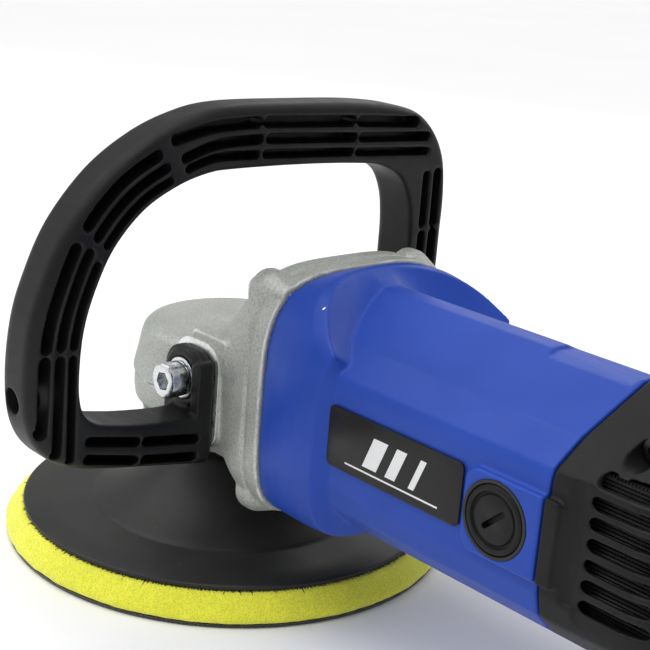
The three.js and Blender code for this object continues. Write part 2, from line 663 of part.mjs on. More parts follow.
// ---- D-handle ----
const legY = FOOT_Y + 0.6; // the legs run into the feet, just clear of the machined bosses
const outline = new THREE.Shape();
outline.moveTo(-legY, 53);
outline.lineTo(-98, 61);
outline.bezierCurveTo(-113.5, 64, -121.5, 73, -122.5, 88);
outline.bezierCurveTo(-122.5, 140, -92, 183, -45, 183.5);
outline.lineTo(29, 181.5);
outline.bezierCurveTo(51, 180.5, 66, 168, 66, 145);
outline.lineTo(66, 110);
outline.bezierCurveTo(66, 96, 56, 98, 51.5, 84);
outline.lineTo(legY, 84);
outline.lineTo(legY, 135);
outline.bezierCurveTo(legY, 150, 38, 159, 22, 159);
outline.lineTo(-50, 160.5);
outline.bezierCurveTo(-78, 160.5, -102.5, 138, -102.5, 100);
outline.bezierCurveTo(-102.5, 82, -98, 78, -90, 76.5);
outline.lineTo(-66, 72.5);
outline.bezierCurveTo(-58, 71.5, -54, 77, -51.5, 84);
outline.lineTo(-legY, 84);
outline.closePath();
let dHandle = plate("x", outline, HANDLE_X[0], HANDLE_X[1], 2.5, 5);
const footShape = roundedRectangle(FOOT_X, [52, 95], 10);
const foot = plate("y", footShape, FOOT_Y, FOOT_OUT_Y, 0, 4);
dHandle = join(dHandle, foot, mirror(foot));
const boltPocket = join(
  box([HANDLE_X[0] - 9, BOLT_X + 9], [FOOT_OUT_Y, 75], [BOLT_Z - 9, BOLT_Z + 9]),
  rod("y", 4.6, 40, 75, [BOLT_X, 0, BOLT_Z], 12),
);
dHandle = cut(dHandle, boltPocket, mirror(boltPocket));
add("d_handle", dHandle, "blackPlastic");

const washerFace = -FOOT_OUT_Y - GAP;
const headFace = washerFace - WASHER - GAP;
const washer = ring("y", 4.5, 7.6, washerFace - WASHER, washerFace, [BOLT_X, 0, BOLT_Z], 16);
const bolt = capScrew("y", 6.5, headFace - BOLT_HEAD, headFace, 4, -30, [BOLT_X, 0, BOLT_Z], 16);
for (const [side, place] of [["left", (made) => made], ["right", mirror]]) {
  add("handle_bolt_" + side, place(bolt), "zinc");
  add("handle_washer_" + side, place(washer), "zinc");
}

export default polisher;
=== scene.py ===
"""The looks of a 180 mm rotary polisher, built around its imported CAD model.

Shapes are worked out in millimetres, in the CAD model's frame: the origin is at the centre of the
pad's face, +Z runs up the spindle, +X back along the motor, and -Y is the tool's left.
"""

import json
import math
import random

import bmesh
import bpy
from mathutils import Matrix, Vector, noise


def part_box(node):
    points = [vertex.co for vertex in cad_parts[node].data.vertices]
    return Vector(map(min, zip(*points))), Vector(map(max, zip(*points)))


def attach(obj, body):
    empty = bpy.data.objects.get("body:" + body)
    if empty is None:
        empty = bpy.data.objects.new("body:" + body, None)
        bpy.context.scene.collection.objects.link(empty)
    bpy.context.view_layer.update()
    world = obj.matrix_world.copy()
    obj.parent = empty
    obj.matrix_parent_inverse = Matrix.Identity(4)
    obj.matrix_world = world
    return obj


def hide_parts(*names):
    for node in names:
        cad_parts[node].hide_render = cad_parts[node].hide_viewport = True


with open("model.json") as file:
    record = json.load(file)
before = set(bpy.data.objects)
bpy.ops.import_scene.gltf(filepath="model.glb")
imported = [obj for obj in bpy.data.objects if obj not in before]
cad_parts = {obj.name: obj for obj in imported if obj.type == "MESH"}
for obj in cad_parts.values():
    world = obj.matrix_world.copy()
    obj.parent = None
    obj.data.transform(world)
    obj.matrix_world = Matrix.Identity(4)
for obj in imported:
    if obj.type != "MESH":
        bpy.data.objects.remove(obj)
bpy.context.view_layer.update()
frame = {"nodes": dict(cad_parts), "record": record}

MM = 0.001
SLOT_OF = {part["node"]: part["material_slot"] for part in frame["record"]["subparts"]}


def span(node, axis):
    """A node's lowest and highest place along an axis, in millimetres."""
    low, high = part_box(node)
    index = "xyz".index(axis)
    return low[index] / MM, high[index] / MM


def middle(node):
    return [sum(span(node, axis)) / 2 for axis in "xyz"]


# ---- driving dimensions ----
GAP = 0.3
MOTOR_Z = middle("armature_core")[2]
FLANGE_X, SEAM_X = span("motor_housing", "x")
TAIL_X = span("rear_handle_left", "x")[1]
PAD_R = span("foam_layer", "x")[1]
DISC_R = span("backing_pad", "x")[1]
DISC_Z, HUB_TOP_Z = span("backing_pad", "z")
BOX_BOTTOM_Z, BOX_SPLIT_Z = span("bearing_box", "z")
CAP_X = middle("brush_cap_left")[0]
BOLT_X = middle("handle_bolt_left")[0]
BOLT_Z = middle("handle_bolt_left")[2]
HANDLE_X = [25, span("d_handle", "x")[1]]
WALL = 3
LUG_Y, LUG_Z = 34, 37
FOOT_Y, FOOT_OUT_Y = 46.3, 50.4
BOSS_Y = 46
LOCK_PIN_Z = 71
LOCK_BUTTON_Z = span("spindle_lock_button", "z")[1] - 5.8
GRIP_Z = MOTOR_Z + 6
CAP_PLATFORM_Z = (69.5, 96.5)
SIDES = (-1, 1)
OUTWARD = {"left": -1, "right": 1}


# ---- materials ----
def new_material(name):
    material = bpy.data.materials.new(name)
    material.use_nodes = True
    tree = material.node_tree
    return material, tree, tree.nodes["Principled BSDF"]


def feed(node, socket, source):
    node.id_data.links.new(source, node.inputs[socket])


def set_inputs(node, values):
    for socket, value in values.items():
        node.inputs[socket].default_value = value


def object_place(tree):
    return tree.nodes.new("ShaderNodeTexCoord").outputs["Object"]


def noise_node(tree, scale, detail=4.0, roughness=0.55, stretch=(1, 1, 1)):
    """Noise in object space, with scale in features per metre."""
    mapping = tree.nodes.new("ShaderNodeMapping")
    set_inputs(mapping, {"Scale": stretch})
    texture = tree.nodes.new("ShaderNodeTexNoise")
    set_inputs(texture, {"Scale": scale, "Detail": detail, "Roughness": roughness})
    feed(mapping, "Vector", object_place(tree))
    feed(texture, "Vector", mapping.outputs["Vector"])
    return texture.outputs["Fac"]


def cell_distance(tree, scale, randomness):
    """The distance from the middle of the nearest cell, with scale in cells per metre."""
    texture = tree.nodes.new("ShaderNodeTexVoronoi")
    set_inputs(texture, {"Scale": scale, "Randomness": randomness})
    feed(texture, "Vector", object_place(tree))
    return texture.outputs["Distance"]


def math_node(tree, operation, source, *numbers):
    node = tree.nodes.new("ShaderNodeMath")
    node.operation = operation
    feed(node, 0, source)
    for index, number in enumerate(numbers, 1):
        node.inputs[index].default_value = number
    return node.outputs[0]


def ramp(tree, source, stops):
    """A colour ramp over a value: [(place, colour), ...]."""
    node = tree.nodes.new("ShaderNodeValToRGB")
    while len(node.color_ramp.elements) < len(stops):
        node.color_ramp.elements.new(0.5)
    for element, (place, colour) in zip(node.color_ramp.elements, stops):
        element.position = place
        element.color = (*colour, 1)
    feed(node, "Fac", source)
    return node.outputs["Color"]


def spread(tree, source, low, high):
    """Maps a noise value's usual range, 0.3 to 0.7, to low and high."""
    node = tree.nodes.new("ShaderNodeMapRange")
    set_inputs(node, {"From Min": 0.3, "From Max": 0.7, "To Min": low, "To Max": high})
    feed(node, "Value", source)
    return node.outputs["Result"]


def blend_colours(tree, factor, first, second, mode="MIX"):
    node = tree.nodes.new("ShaderNodeMix")
    node.data_type = "RGBA"
    node.blend_type = mode
    for socket, value in ((node.inputs[0], factor), (node.inputs[6], first), (node.inputs[7], second)):
        if isinstance(value, (tuple, float, int)):
            socket.default_value = (*value, 1) if isinstance(value, tuple) else value
        else:
            tree.links.new(value, socket)
    return node.outputs[2]


def add_bump(tree, shader, height, distance, strength=1.0, under=None):
    node = tree.nodes.new("ShaderNodeBump")
    set_inputs(node, {"Strength": strength, "Distance": distance})
    feed(node, "Height", height)
    if under is not None:
        feed(node, "Normal", under)
    feed(shader, "Normal", node.outputs["Normal"])
    return node.outputs["Normal"]


def worn_edges(tree):
    """White along sharp convex edges, broken up by noise."""
    geometry = tree.nodes.new("ShaderNodeNewGeometry")
    edge = ramp(tree, geometry.outputs["Pointiness"], [(0.515, (0, 0, 0)), (0.56, (1, 1, 1))])
    patches = ramp(tree, noise_node(tree, 120, 5), [(0.42, (0, 0, 0)), (0.62, (1, 1, 1))])
    return blend_colours(tree, 1.0, edge, patches, "MULTIPLY")


def plastic(name, colour, roughness, grain=0.00003, wear=0.25, mottle=0.10, shine=0.5, parting_x=None):
    """Moulded plastic: a fine spark-eroded grain, slow shade changes and lighter rubbed edges.
    parting_x is the place along X, in metres, of a fine parting line."""
    material, tree, shader = new_material(name)
    dark = tuple(c * (1 - mottle) for c in colour)
    light = tuple(min(1, c * (1 + mottle) + 0.004) for c in colour)
    rubbed = tuple(min(1, c * 1.5 + 0.03) for c in colour)
    body = ramp(tree, noise_node(tree, 22, 3), [(0.35, dark), (0.65, light)])
    rub = math_node(tree, "MULTIPLY", worn_edges(tree), wear)
    feed(shader, "Base Color", blend_colours(tree, rub, body, rubbed))
    smear = noise_node(tree, 60, 6, 0.7, (1, 3, 3))
    feed(shader, "Roughness", spread(tree, smear, roughness - 0.06, roughness + 0.08))
    fine = add_bump(tree, shader, noise_node(tree, 2200, 2), grain, 0.6)
    if parting_x is not None:
        axes = tree.nodes.new("ShaderNodeSeparateXYZ")
        feed(axes, "Vector", object_place(tree))
        half_width = 0.00028
        line = math_node(tree, "COMPARE", axes.outputs["X"], parting_x, half_width)
        add_bump(tree, shader, line, 0.0004, 0.9, fine)
    set_inputs(shader, {"Specular IOR Level": shine})
    return material


def cast_metal(name):
    """Bead-blasted die-cast aluminium: light grey, with a coarse grain, pits and soft stains."""
    material, tree, shader = new_material(name)
    grain = noise_node(tree, 1150, 4, 0.65)
    tones = [(0.30, (0.30, 0.31, 0.29)), (0.44, (0.42, 0.435, 0.41)), (0.62, (0.53, 0.545, 0.515))]
    speck = ramp(tree, grain, tones)
    cloud = ramp(tree, noise_node(tree, 45, 5), [(0.3, (0.80, 0.81, 0.80)), (0.7, (1, 1, 1))])
    body = blend_colours(tree, 1.0, speck, cloud, "MULTIPLY")
    bright = blend_colours(tree, worn_edges(tree), body, (0.83, 0.84, 0.82))
    feed(shader, "Base Color", bright)
    set_inputs(shader, {"Metallic": 0.55})
    feed(shader, "Roughness", spread(tree, grain, 0.50, 0.62))
    coarse = add_bump(tree, shader, noise_node(tree, 260, 5), 0.00025, 0.35)
    add_bump(tree, shader, grain, 0.00012, 0.55, coarse)
    return material


def metal(name, colour, roughness, stretch=(1, 1, 1), scale=900):
    """Plated or turned metal: fine marks along one way, and a faint film."""
    material, tree, shader = new_material(name)
    marks = noise_node(tree, scale, 4, 0.6, stretch)
    dark = tuple(c * 0.78 for c in colour)
    feed(shader, "Base Color", ramp(tree, marks, [(0.32, dark), (0.62, colour)]))
    set_inputs(shader, {"Metallic": 1.0})
    feed(shader, "Roughness", spread(tree, marks, roughness - 0.05, roughness + 0.12))
    add_bump(tree, shader, marks, 0.00002, 0.5)
    return material


def rubber(name):
    material, tree, shader = new_material(name)
    cloud = noise_node(tree, 30, 5)
    body = ramp(tree, cloud, [(0.3, (0.012, 0.012, 0.0115)), (0.7, (0.022, 0.022, 0.021))])
    dust = ramp(tree, noise_node(tree, 700, 3), [(0.66, (0, 0, 0)), (0.76, (0.5, 0.5, 0.5))])
    feed(shader, "Base Color", blend_colours(tree, dust, body, (0.09, 0.09, 0.085)))
    feed(shader, "Roughness", spread(tree, cloud, 0.36, 0.50))
    set_inputs(shader, {"Specular IOR Level": 0.3})
    ripples = add_bump(tree, shader, noise_node(tree, 70, 3), 0.0004, 0.25)
    add_bump(tree, shader, noise_node(tree, 1800, 2), 0.00004, 0.6, ripples)
    return material


def foam(name):
    """Open-cell foam: small dark pores in bright yellow."""
    material, tree, shader = new_material(name)
    distance = cell_distance(tree, 1500, 1.0)
    tones = [(0.05, (0.52, 0.50, 0.02)), (0.30, (0.84, 0.83, 0.03)), (0.7, (0.93, 0.93, 0.05))]
    pores = ramp(tree, distance, tones)
    tint = ramp(tree, noise_node(tree, 60, 3), [(0.3, (0.90, 0.90, 0.85)), (0.7, (1, 1, 1))])
    feed(shader, "Base Color", blend_colours(tree, 1.0, pores, tint, "MULTIPLY"))
    set_inputs(shader, {"Roughness": 0.95, "Sheen Weight": 0.3, "Sheen Roughness": 0.6})
    soft = add_bump(tree, shader, noise_node(tree, 180, 4), 0.0006, 0.4)
    add_bump(tree, shader, distance, 0.0004, 0.7, soft)
    return material


def hook_facing(name):
    """Hook tape: rows of short stiff hooks on a woven ground."""
    material, tree, shader = new_material(name)
    distance = cell_distance(tree, 900, 0.25)
    hooks = ramp(tree, distance, [(0.15, (0.13, 0.13, 0.125)), (0.45, (0.018, 0.018, 0.018))])
    feed(shader, "Base Color", hooks)
    set_inputs(shader, {"Roughness": 0.85, "Sheen Weight": 0.4})
    add_bump(tree, shader, distance, 0.0006, 0.9)
    return material


def laminated(name):
    """Stacked steel laminations: thin dark lines across the stack."""
    material, tree, shader = new_material(name)
    layers = tree.nodes.new("ShaderNodeTexWave")
    layers.bands_direction = "X"
    set_inputs(layers, {"Scale": 320, "Distortion": 0.4})
    feed(layers, "Vector", object_place(tree))
    edges = ramp(tree, layers.outputs["Fac"], [(0.2, (0.09, 0.085, 0.08)), (0.7, (0.30, 0.30, 0.31))])
    feed(shader, "Base Color", edges)
    set_inputs(shader, {"Metallic": 0.8})
    feed(shader, "Roughness", spread(tree, noise_node(tree, 400), 0.4, 0.6))
    add_bump(tree, shader, layers.outputs["Fac"], 0.00008, 0.6)
    return material


MATERIALS = {
    "cast_aluminium": cast_metal("cast_aluminium"),
    "blue_plastic": plastic(
        "blue_plastic", (0.0125, 0.054, 0.355), 0.38, grain=0.000025, wear=0.18, mottle=0.06, shine=0.22
    ),
    "black_plastic": plastic(
        "black_plastic", (0.0058, 0.0061, 0.0063), 0.42, grain=0.00004, wear=0.30, mottle=0.16, shine=0.17
    ),
    "grey_plastic": plastic(
        "grey_plastic", (0.050, 0.052, 0.055), 0.50, grain=0.00004, wear=0.3, mottle=0.12
    ),
    "label": plastic(
        "label", (0.006, 0.006, 0.0063), 0.32, grain=0.00001, wear=0.1, mottle=0.15, shine=0.26
    ),
    "steel": metal("steel", (0.50, 0.50, 0.51), 0.30),
    "zinc": metal("zinc", (0.72, 0.74, 0.76), 0.20, scale=700),
    "laminated_steel": laminated("laminated_steel"),
    "copper": metal("copper", (0.75, 0.36, 0.19), 0.30),
    "brass": metal("brass", (0.78, 0.60, 0.27), 0.28),
    "carbon": plastic("carbon", (0.030, 0.030, 0.032), 0.6, grain=0.00006, wear=0.1, mottle=0.2),
    "rubber": rubber("rubber"),
    "hook": hook_facing("hook"),
    "foam": foam("foam"),
}
HANDLE_PLASTIC = plastic(
    "handle_plastic", (0.0062, 0.0064, 0.0064), 0.42, grain=0.00004, mottle=0.16, shine=0.2, parting_x=0.035
)
MACHINED_FACE = metal("machined_face", (0.80, 0.81, 0.80), 0.28, stretch=(1, 6, 1), scale=500)
DARK_STEEL = metal("dark_zinc", (0.060, 0.058, 0.056), 0.42)
MARK_PAINT = plastic("label_mark", (0.70, 0.71, 0.72), 0.42, grain=0.00001, wear=0.05, mottle=0.05)


# ---- shapes: each is (corners in millimetres, faces) ----
def placed(axis, u, v, w):
    """A point drawn at u, v across an axis and w along it: y,z across x; x,z across y; x,y across z."""
    return {"x": (w, u, v), "y": (u, w, v), "z": (u, v, w)}[axis]


def polar(radius, angle, centre=(0, 0)):
    return centre[0] + radius * math.cos(angle), centre[1] + radius * math.sin(angle)


def revolve(axis, profile, at=(0, 0, 0), sides=96):
    """Turns [radius, place along the axis] pairs that start and end on the axis, or close."""
    corners, faces, rows = [], [], []
    for radius, along in profile:
        if radius == 0:
            rows.append([len(corners)] * sides)
            corners.append(placed(axis, 0, 0, along))
            continue
        rows.append(list(range(len(corners), len(corners) + sides)))
        for i in range(sides):
            angle = 2 * math.pi * i / sides
            corners.append(placed(axis, *polar(radius, angle), along))
    if profile[0][0] != 0:
        rows.append(rows[0])
    for lower, upper in zip(rows, rows[1:]):
        for i in range(sides):
            j = (i + 1) % sides
            face = [lower[i], lower[j], upper[j], upper[i]]
            faces.append(list(dict.fromkeys(face)))
    corners = [tuple(c + a for c, a in zip(corner, at)) for corner in corners]
    return corners, [face for face in faces if len(face) > 2]


def rod(axis, radius, low, high, at=(0, 0, 0), sides=64):
    return revolve(axis, [(0, low), (radius, low), (radius, high), (0, high)], at, sides)


def tube(axis, inner, outer, low, high, at=(0, 0, 0)):
    return revolve(axis, [(inner, low), (outer, low), (outer, high), (inner, high)], at)


def skin(rows):
    """Joins rows of points, each closed on itself, into one surface with its two ends closed."""
    corners = [point for row in rows for point in row]
    count = len(rows[0])
    faces = []
    for k in range(len(rows) - 1):
        for i in range(count):
            j = (i + 1) % count
            faces.append([k * count + i, k * count + j, (k + 1) * count + j, (k + 1) * count + i])
    faces.append(list(range(count)))
    faces.append([(len(rows) - 1) * count + i for i in range(count)])
    return corners, faces


def prism(axis, outline, low, high):
    rows = [[placed(axis, u, v, w) for u, v in outline] for w in (low, high)]
    return skin(rows)


def block(xs, ys, zs):
    return prism("z", [(xs[0], ys[0]), (xs[1], ys[0]), (xs[1], ys[1]), (xs[0], ys[1])], *zs)


def arc(centre, radius, start, end, count):
    """Points on an arc, with the angles in degrees."""
    angles = [math.radians(start + (end - start) * i / (count - 1)) for i in range(count)]
    return [polar(radius, angle, centre) for angle in angles]


def rounded_rectangle(us, vs, radius, count=9):
    outline = []
    for u, v, start in ((us[1], vs[1], 0), (us[0], vs[1], 90), (us[0], vs[0], 180), (us[1], vs[0], 270)):
        centre = (u - radius if start in (0, 270) else u + radius, v - radius if start < 180 else v + radius)
        outline += arc(centre, radius, start, start + 90, count)
    return outline


def rounded_block(xs, zs, radius, low, high):
    """A block along Y, with round corners in X and Z."""
    return prism("y", rounded_rectangle(xs, zs, radius), low, high)


def smooth_path(points, steps):
    """A curve through the points (Catmull-Rom), of any dimension."""
    points = [tuple(p) for p in points]
    padded = [points[0], *points, points[-1]]
    path = []
    for a, b, c, d in zip(padded, padded[1:], padded[2:], padded[3:]):
        for i in range(steps):
            t = i / steps
            path.append(tuple(
                0.5 * (2 * q + (r - p) * t + (2 * p - 5 * q + 4 * r - s) * t * t
                       + (3 * q - p - 3 * r + s) * t ** 3)
                for p, q, r, s in zip(a, b, c, d)
            ))
    return [*path, points[-1]]


def capsule(path, width):
    """The outline of a slot of a width round a path, with round ends."""
    def normal(k):
        a, b = path[max(k - 1, 0)], path[min(k + 1, len(path) - 1)]
        length = math.hypot(b[0] - a[0], b[1] - a[1])
        return (a[1] - b[1]) / length, (b[0] - a[0]) / length

    half = width / 2
    left = [(p[0] + half * normal(k)[0], p[1] + half * normal(k)[1]) for k, p in enumerate(path)]
    right = [(p[0] - half * normal(k)[0], p[1] - half * normal(k)[1]) for k, p in enumerate(path)]

    def cap(k):
        n = normal(k)
        start = math.degrees(math.atan2(n[1], n[0]))
        turn = -180 if k else 180
        return arc(path[k], half, start, start + turn, 9)[1:-1]

    return left + cap(len(path) - 1) + right[::-1] + cap(0)[::-1]


def oval(half, up, down, up_power, down_power=None):
    """A section: a radius for each angle, from +Y towards +Z."""
    def radius(angle):
        rising = math.sin(angle) > 0
        power = up_power if rising else (down_power or up_power)
        across = abs(math.cos(angle)) / half
        high = abs(math.sin(angle)) / (up if rising else down)
        return (across ** power + high ** power) ** (-1 / power)
    return radius


def faceted(outline):
    """A convex section with flats and corners."""
    def radius(angle):
        best = math.inf
        for (ay, az), (by, bz) in zip(outline, [*outline[1:], outline[0]]):
            ny, nz = bz - az, ay - by
            facing = ny * math.cos(angle) + nz * math.sin(angle)
            if facing > 1e-9:
                best = min(best, (ny * ay + nz * az) / facing)
        return best
    return radius


def between(a, b, t):
    return lambda angle: (1 - t) * a(angle) + t * b(angle)


def inset(section, depth):
    return lambda angle: section(angle) - depth


def loft(stations, sides=176, steps=6, straight=()):
    """A body along X through its stations, (x, centre height, section), smooth and then straight."""
    angles = [2 * math.pi * i / sides for i in range(sides)]

    def radii(stops):
        return [(x, z, *[section(angle) for angle in angles]) for x, z, section in stops]

    path = smooth_path(radii(stations), steps) if steps > 1 else radii(stations)
    path += radii(straight)
    return skin([
        [(row[0], *polar(r, angle, (0, row[1]))) for angle, r in zip(angles, row[2:])]
        for row in path
    ])


def mirrored(shape):
    corners, faces = shape
    return [(x, -y, z) for x, y, z in corners], faces


def both_sides(*shapes):
    return [*shapes, *[mirrored(shape) for shape in shapes]]


# ---- pieces ----
def add_object(name, data):
    added = bpy.data.objects.new(name, data)
    bpy.context.scene.collection.objects.link(added)
    return added


def new_object(name, shapes):
    """One object from closed shapes, each turned to face outwards."""
    mesh = bpy.data.meshes.new(name)
    corners, faces = [], []
    for shape_corners, shape_faces in shapes:
        start = len(corners)
        corners += [tuple(c * MM for c in corner) for corner in shape_corners]
        faces += [[start + i for i in face] for face in shape_faces]
    mesh.from_pydata(corners, [], faces)
    surface = bmesh.new()
    surface.from_mesh(mesh)
    bmesh.ops.recalc_face_normals(surface, faces=surface.faces)
    surface.to_mesh(mesh)
    surface.free()
    return add_object(name, mesh)


def apply_modifiers(piece):
    graph = bpy.context.evaluated_depsgraph_get()
    mesh = bpy.data.meshes.new_from_object(piece.evaluated_get(graph))
    mesh.name = piece.name
    piece.modifiers.clear()
    piece.data = mesh


def boolean(piece, shapes, operation="DIFFERENCE"):
    """Cuts a piece with each shape or object in turn, or joins it to them, or keeps what they share."""
    tools = [
        shape if isinstance(shape, bpy.types.Object) else new_object("tool_shape", [shape])
        for shape in shapes
    ]
    for tool in tools:
        modifier = piece.modifiers.new("combine", "BOOLEAN")
        modifier.operation = operation
        modifier.solver = "MANIFOLD"
        modifier.object = tool
    if tools:
        apply_modifiers(piece)
    for tool in tools:
        bpy.data.objects.remove(tool)


def shade(piece, sharp):
    """Smooth shading, broken at edges sharper than an angle in degrees."""
    piece.data.shade_smooth()
    piece.data.set_sharp_from_angle(angle=math.radians(sharp))


def soften(piece, voxel, rounds, thin):
    """Rounds every edge, as a mould or a casting does. Thin is the share of the faces that is kept."""
    remesh = piece.modifiers.new("remesh", "REMESH")
    remesh.mode = "VOXEL"
    remesh.voxel_size = voxel * MM
    smooth = piece.modifiers.new("smooth", "SMOOTH")
    smooth.factor = 0.5
    smooth.iterations = rounds
    decimate = piece.modifiers.new("thin", "DECIMATE")
    decimate.ratio = thin
    apply_modifiers(piece)
    piece.data.shade_smooth()


def moulded(name, first, cuts=(), then=(), last=(), voxel=0.7, rounds=4, thin=0.5):
    """Joins the first shapes, cuts them, joins and cuts again, and softens the result."""
    piece = new_object(name, first[:1])
    boolean(piece, first[1:], "UNION")
    boolean(piece, cuts)
    boolean(piece, then, "UNION")
    boolean(piece, last)
    soften(piece, voxel, rounds, thin)
    return piece


def machined(name, shapes, bevel=0.3, segments=2, sharp=30):
    """Exact shapes with their hard edges broken by a small bevel."""
    piece = new_object(name, shapes)
    modifier = piece.modifiers.new("edges", "BEVEL")
    modifier.width = bevel * MM
    modifier.segments = segments
    modifier.limit_method = "ANGLE"
    modifier.angle_limit = math.radians(sharp)
    apply_modifiers(piece)
    shade(piece, 38)
    return piece


def finish_piece(piece, body, slot, *nodes, material=None):
    """Gives a piece its material and body, and hides the CAD nodes it stands for."""
    piece.data.materials.clear()
    piece.data.materials.append(material or MATERIALS[slot])
    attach(piece, body)
    if nodes:
        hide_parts(*nodes)
    return piece


# ---- camera, light and floor ----
CAMERA_PLACE = (0.4259, -0.3508, 0.2560)
CAMERA_FORWARD = (-0.6992, 0.6538, -0.2890)
CAMERA_RIGHT = (0.6639, 0.7439, 0.0768)
CAMERA_LENS = 79.73


def set_camera():
    data = bpy.data.cameras.new("camera")
    data.lens = CAMERA_LENS
    data.sensor_width = 36
    data.clip_start = 0.01
    camera = add_object("camera", data)
    right = Vector(CAMERA_RIGHT).normalized()
    forward = Vector(CAMERA_FORWARD).normalized()
    up = right.cross(forward).normalized()
    right = forward.cross(up).normalized()
    turn = Matrix((right, up, -forward)).transposed().to_4x4()
    camera.matrix_world = Matrix.Translation(CAMERA_PLACE) @ turn
    bpy.context.scene.camera = camera


def add_light(name, place, target, size, power):
    data = bpy.data.lights.new(name, "AREA")
    data.shape = "RECTANGLE"
    data.size, data.size_y = size
    data.energy = power
    light = add_object(name, data)
    light.location = place
    light.rotation_euler = (Vector(target) - Vector(place)).to_track_quat("-Z", "Y").to_euler()


def set_stage():
    world = bpy.data.worlds.new("studio")
    world.use_nodes = True
    background = world.node_tree.nodes["Background"]
    set_inputs(background, {"Color": (1, 1, 1, 1), "Strength": 0.52})
    bpy.context.scene.world = world
    bpy.context.scene.view_settings.view_transform = "Standard"
    sun = bpy.data.lights.new("soft_top_light", "SUN")
    sun.energy = 1.75
    sun.angle = math.radians(70)
    top = add_object("soft_top_light", sun)
    top.rotation_euler = (math.radians(18), math.radians(-14), 0)
    middle_of_tool = (0.1, 0, 0.09)
    add_light("key", (0.45, -0.35, 1.25), middle_of_tool, (0.8, 0.8), 2.5)
    add_light("side", (-0.75, -0.75, 0.55), middle_of_tool, (0.7, 0.9), 1.5)
    add_light("back", (-0.3, 0.95, 0.75), middle_of_tool, (1.2, 0.6), 2.5)
    reach = (-6000, 6000)
    floor = new_object("floor", [block(reach, reach, (-20, 0))])
    material, tree, shader = new_material("pale_floor")
    tones = [(0.3, (0.93, 0.93, 0.93)), (0.7, (0.95, 0.95, 0.95))]
    feed(shader, "Base Color", ramp(tree, noise_node(tree, 3, 2), tones))
    set_inputs(shader, {"Roughness": 0.85})
    floor.data.materials.append(material)


# ---- the D-handle ----
# Pairs of (outer, inner) edge points in y,z, from the left foot round to the right one.
HANDLE_RAILS = [
    ((-47.0, 52.4), (-47.0, 74.5)), ((-56, 53.8), (-56, 72.2)), ((-75, 57), (-74, 73.8)),
    ((-90, 59.6), (-87, 76.0)), ((-104, 63), (-95.5, 78.2)), ((-114.5, 69.3), (-100.3, 82.3)),
    ((-120.6, 79.5), (-102.3, 89)), ((-122.4, 95), (-102.5, 99)), ((-121, 113), (-101.2, 112)),
    ((-117, 127.5), (-97.3, 125)), ((-108.3, 146), (-90.5, 138.5)), ((-94, 162.7), (-79.5, 150)),
    ((-78, 173.6), (-66.5, 157)), ((-62, 180), (-54, 160.6)), ((-44, 183.2), (-42, 161.4)),
    ((-10, 183), (-10, 161)), ((22, 181.8), (17, 159.6)), ((44, 178.4), (29.5, 157.8)),
    ((55.6, 171.3), (39.5, 152.6)), ((63.1, 160), (45, 143)), ((65.8, 145), (46.9, 132)),
    ((66, 128), (47, 122)), ((65.8, 112), (47, 110)), ((63, 101), (47, 101)), ((57, 92), (47, 93)),
    ((52, 84), (47, 84)),
]

# Slots in the handle's rear face, (width, their middle lines in y,z), where they run straight.
STRAIGHT_SLOTS = [
    (4.3, [
        [(-116.7, 78), (-116.1, 102.8)],
        [(-67.8, 173), (-51, 176.6), (-33.2, 177.2)],
        [(-28.8, 177.2), (11.4, 175.7)],
        [(15.8, 175.5), (45, 173.8)],
        [(59.4, 153), (59.6, 133.4)],
        [(59.6, 129), (59.3, 106)],
    ]),
    (3.7, [
        [(-110.9, 69.8), (-110.3, 102.6)],
        [(-63.6, 166.6), (-50, 170.5), (-31.9, 171.3)],
        [(-27.6, 171.3), (13, 169.6)],
        [(17, 169.4), (51.6, 168)],
        [(53.3, 152.6), (53.5, 133.2)],
        [(53.5, 128.8), (53.5, 100)],
        [(-98, 71.9), (-78.9, 68)],
        [(-74.7, 67.3), (-53.4, 64)],
        [(-98.4, 65.6), (-79.2, 61.2)],
        [(-75, 60.5), (-53.9, 57.2)],
    ]),
    (3.2, [
        [(-105.5, 67), (-105.5, 102.4)],
        [(-62, 162.9), (-50, 166), (-33, 165.9)],
        [(-29, 165.9), (11.8, 164.3)],
        [(15.4, 164), (52, 162.2)],
    ]),
]
# Where they follow the bend: (width, distance from the inner edge, places along the rails).
CURVED_SLOTS = [
    (4.3, 13.7, [(7.68, 9.9), (10.2, 12.1)]),
    (3.7, 8.1, [(7.66, 9.75), (10.08, 12.08)]),
    (3.2, 3.2, [(7.62, 9.6), (10.0, 12.05)]),
]


def handle_rails(steps):
    """The two edges as one smooth path of (outer y, outer z, inner y, inner z)."""
    return smooth_path([(*outer, *inner) for outer, inner in HANDLE_RAILS], steps)


def slot_paths():
    paths = [(width, smooth_path(path, 6)) for width, group in STRAIGHT_SLOTS for path in group]
    steps = 50
    rails = handle_rails(steps)
    for width, distance, stretches in CURVED_SLOTS:
        for start, end in stretches:
            path = []
            for yo, zo, yi, zi in rails[round(steps * start):round(steps * end):8]:
                share = distance / math.hypot(yo - yi, zo - zi)
                path.append((yi + (yo - yi) * share, zi + (zo - zi) * share))
            paths.append((width, path))
    return paths


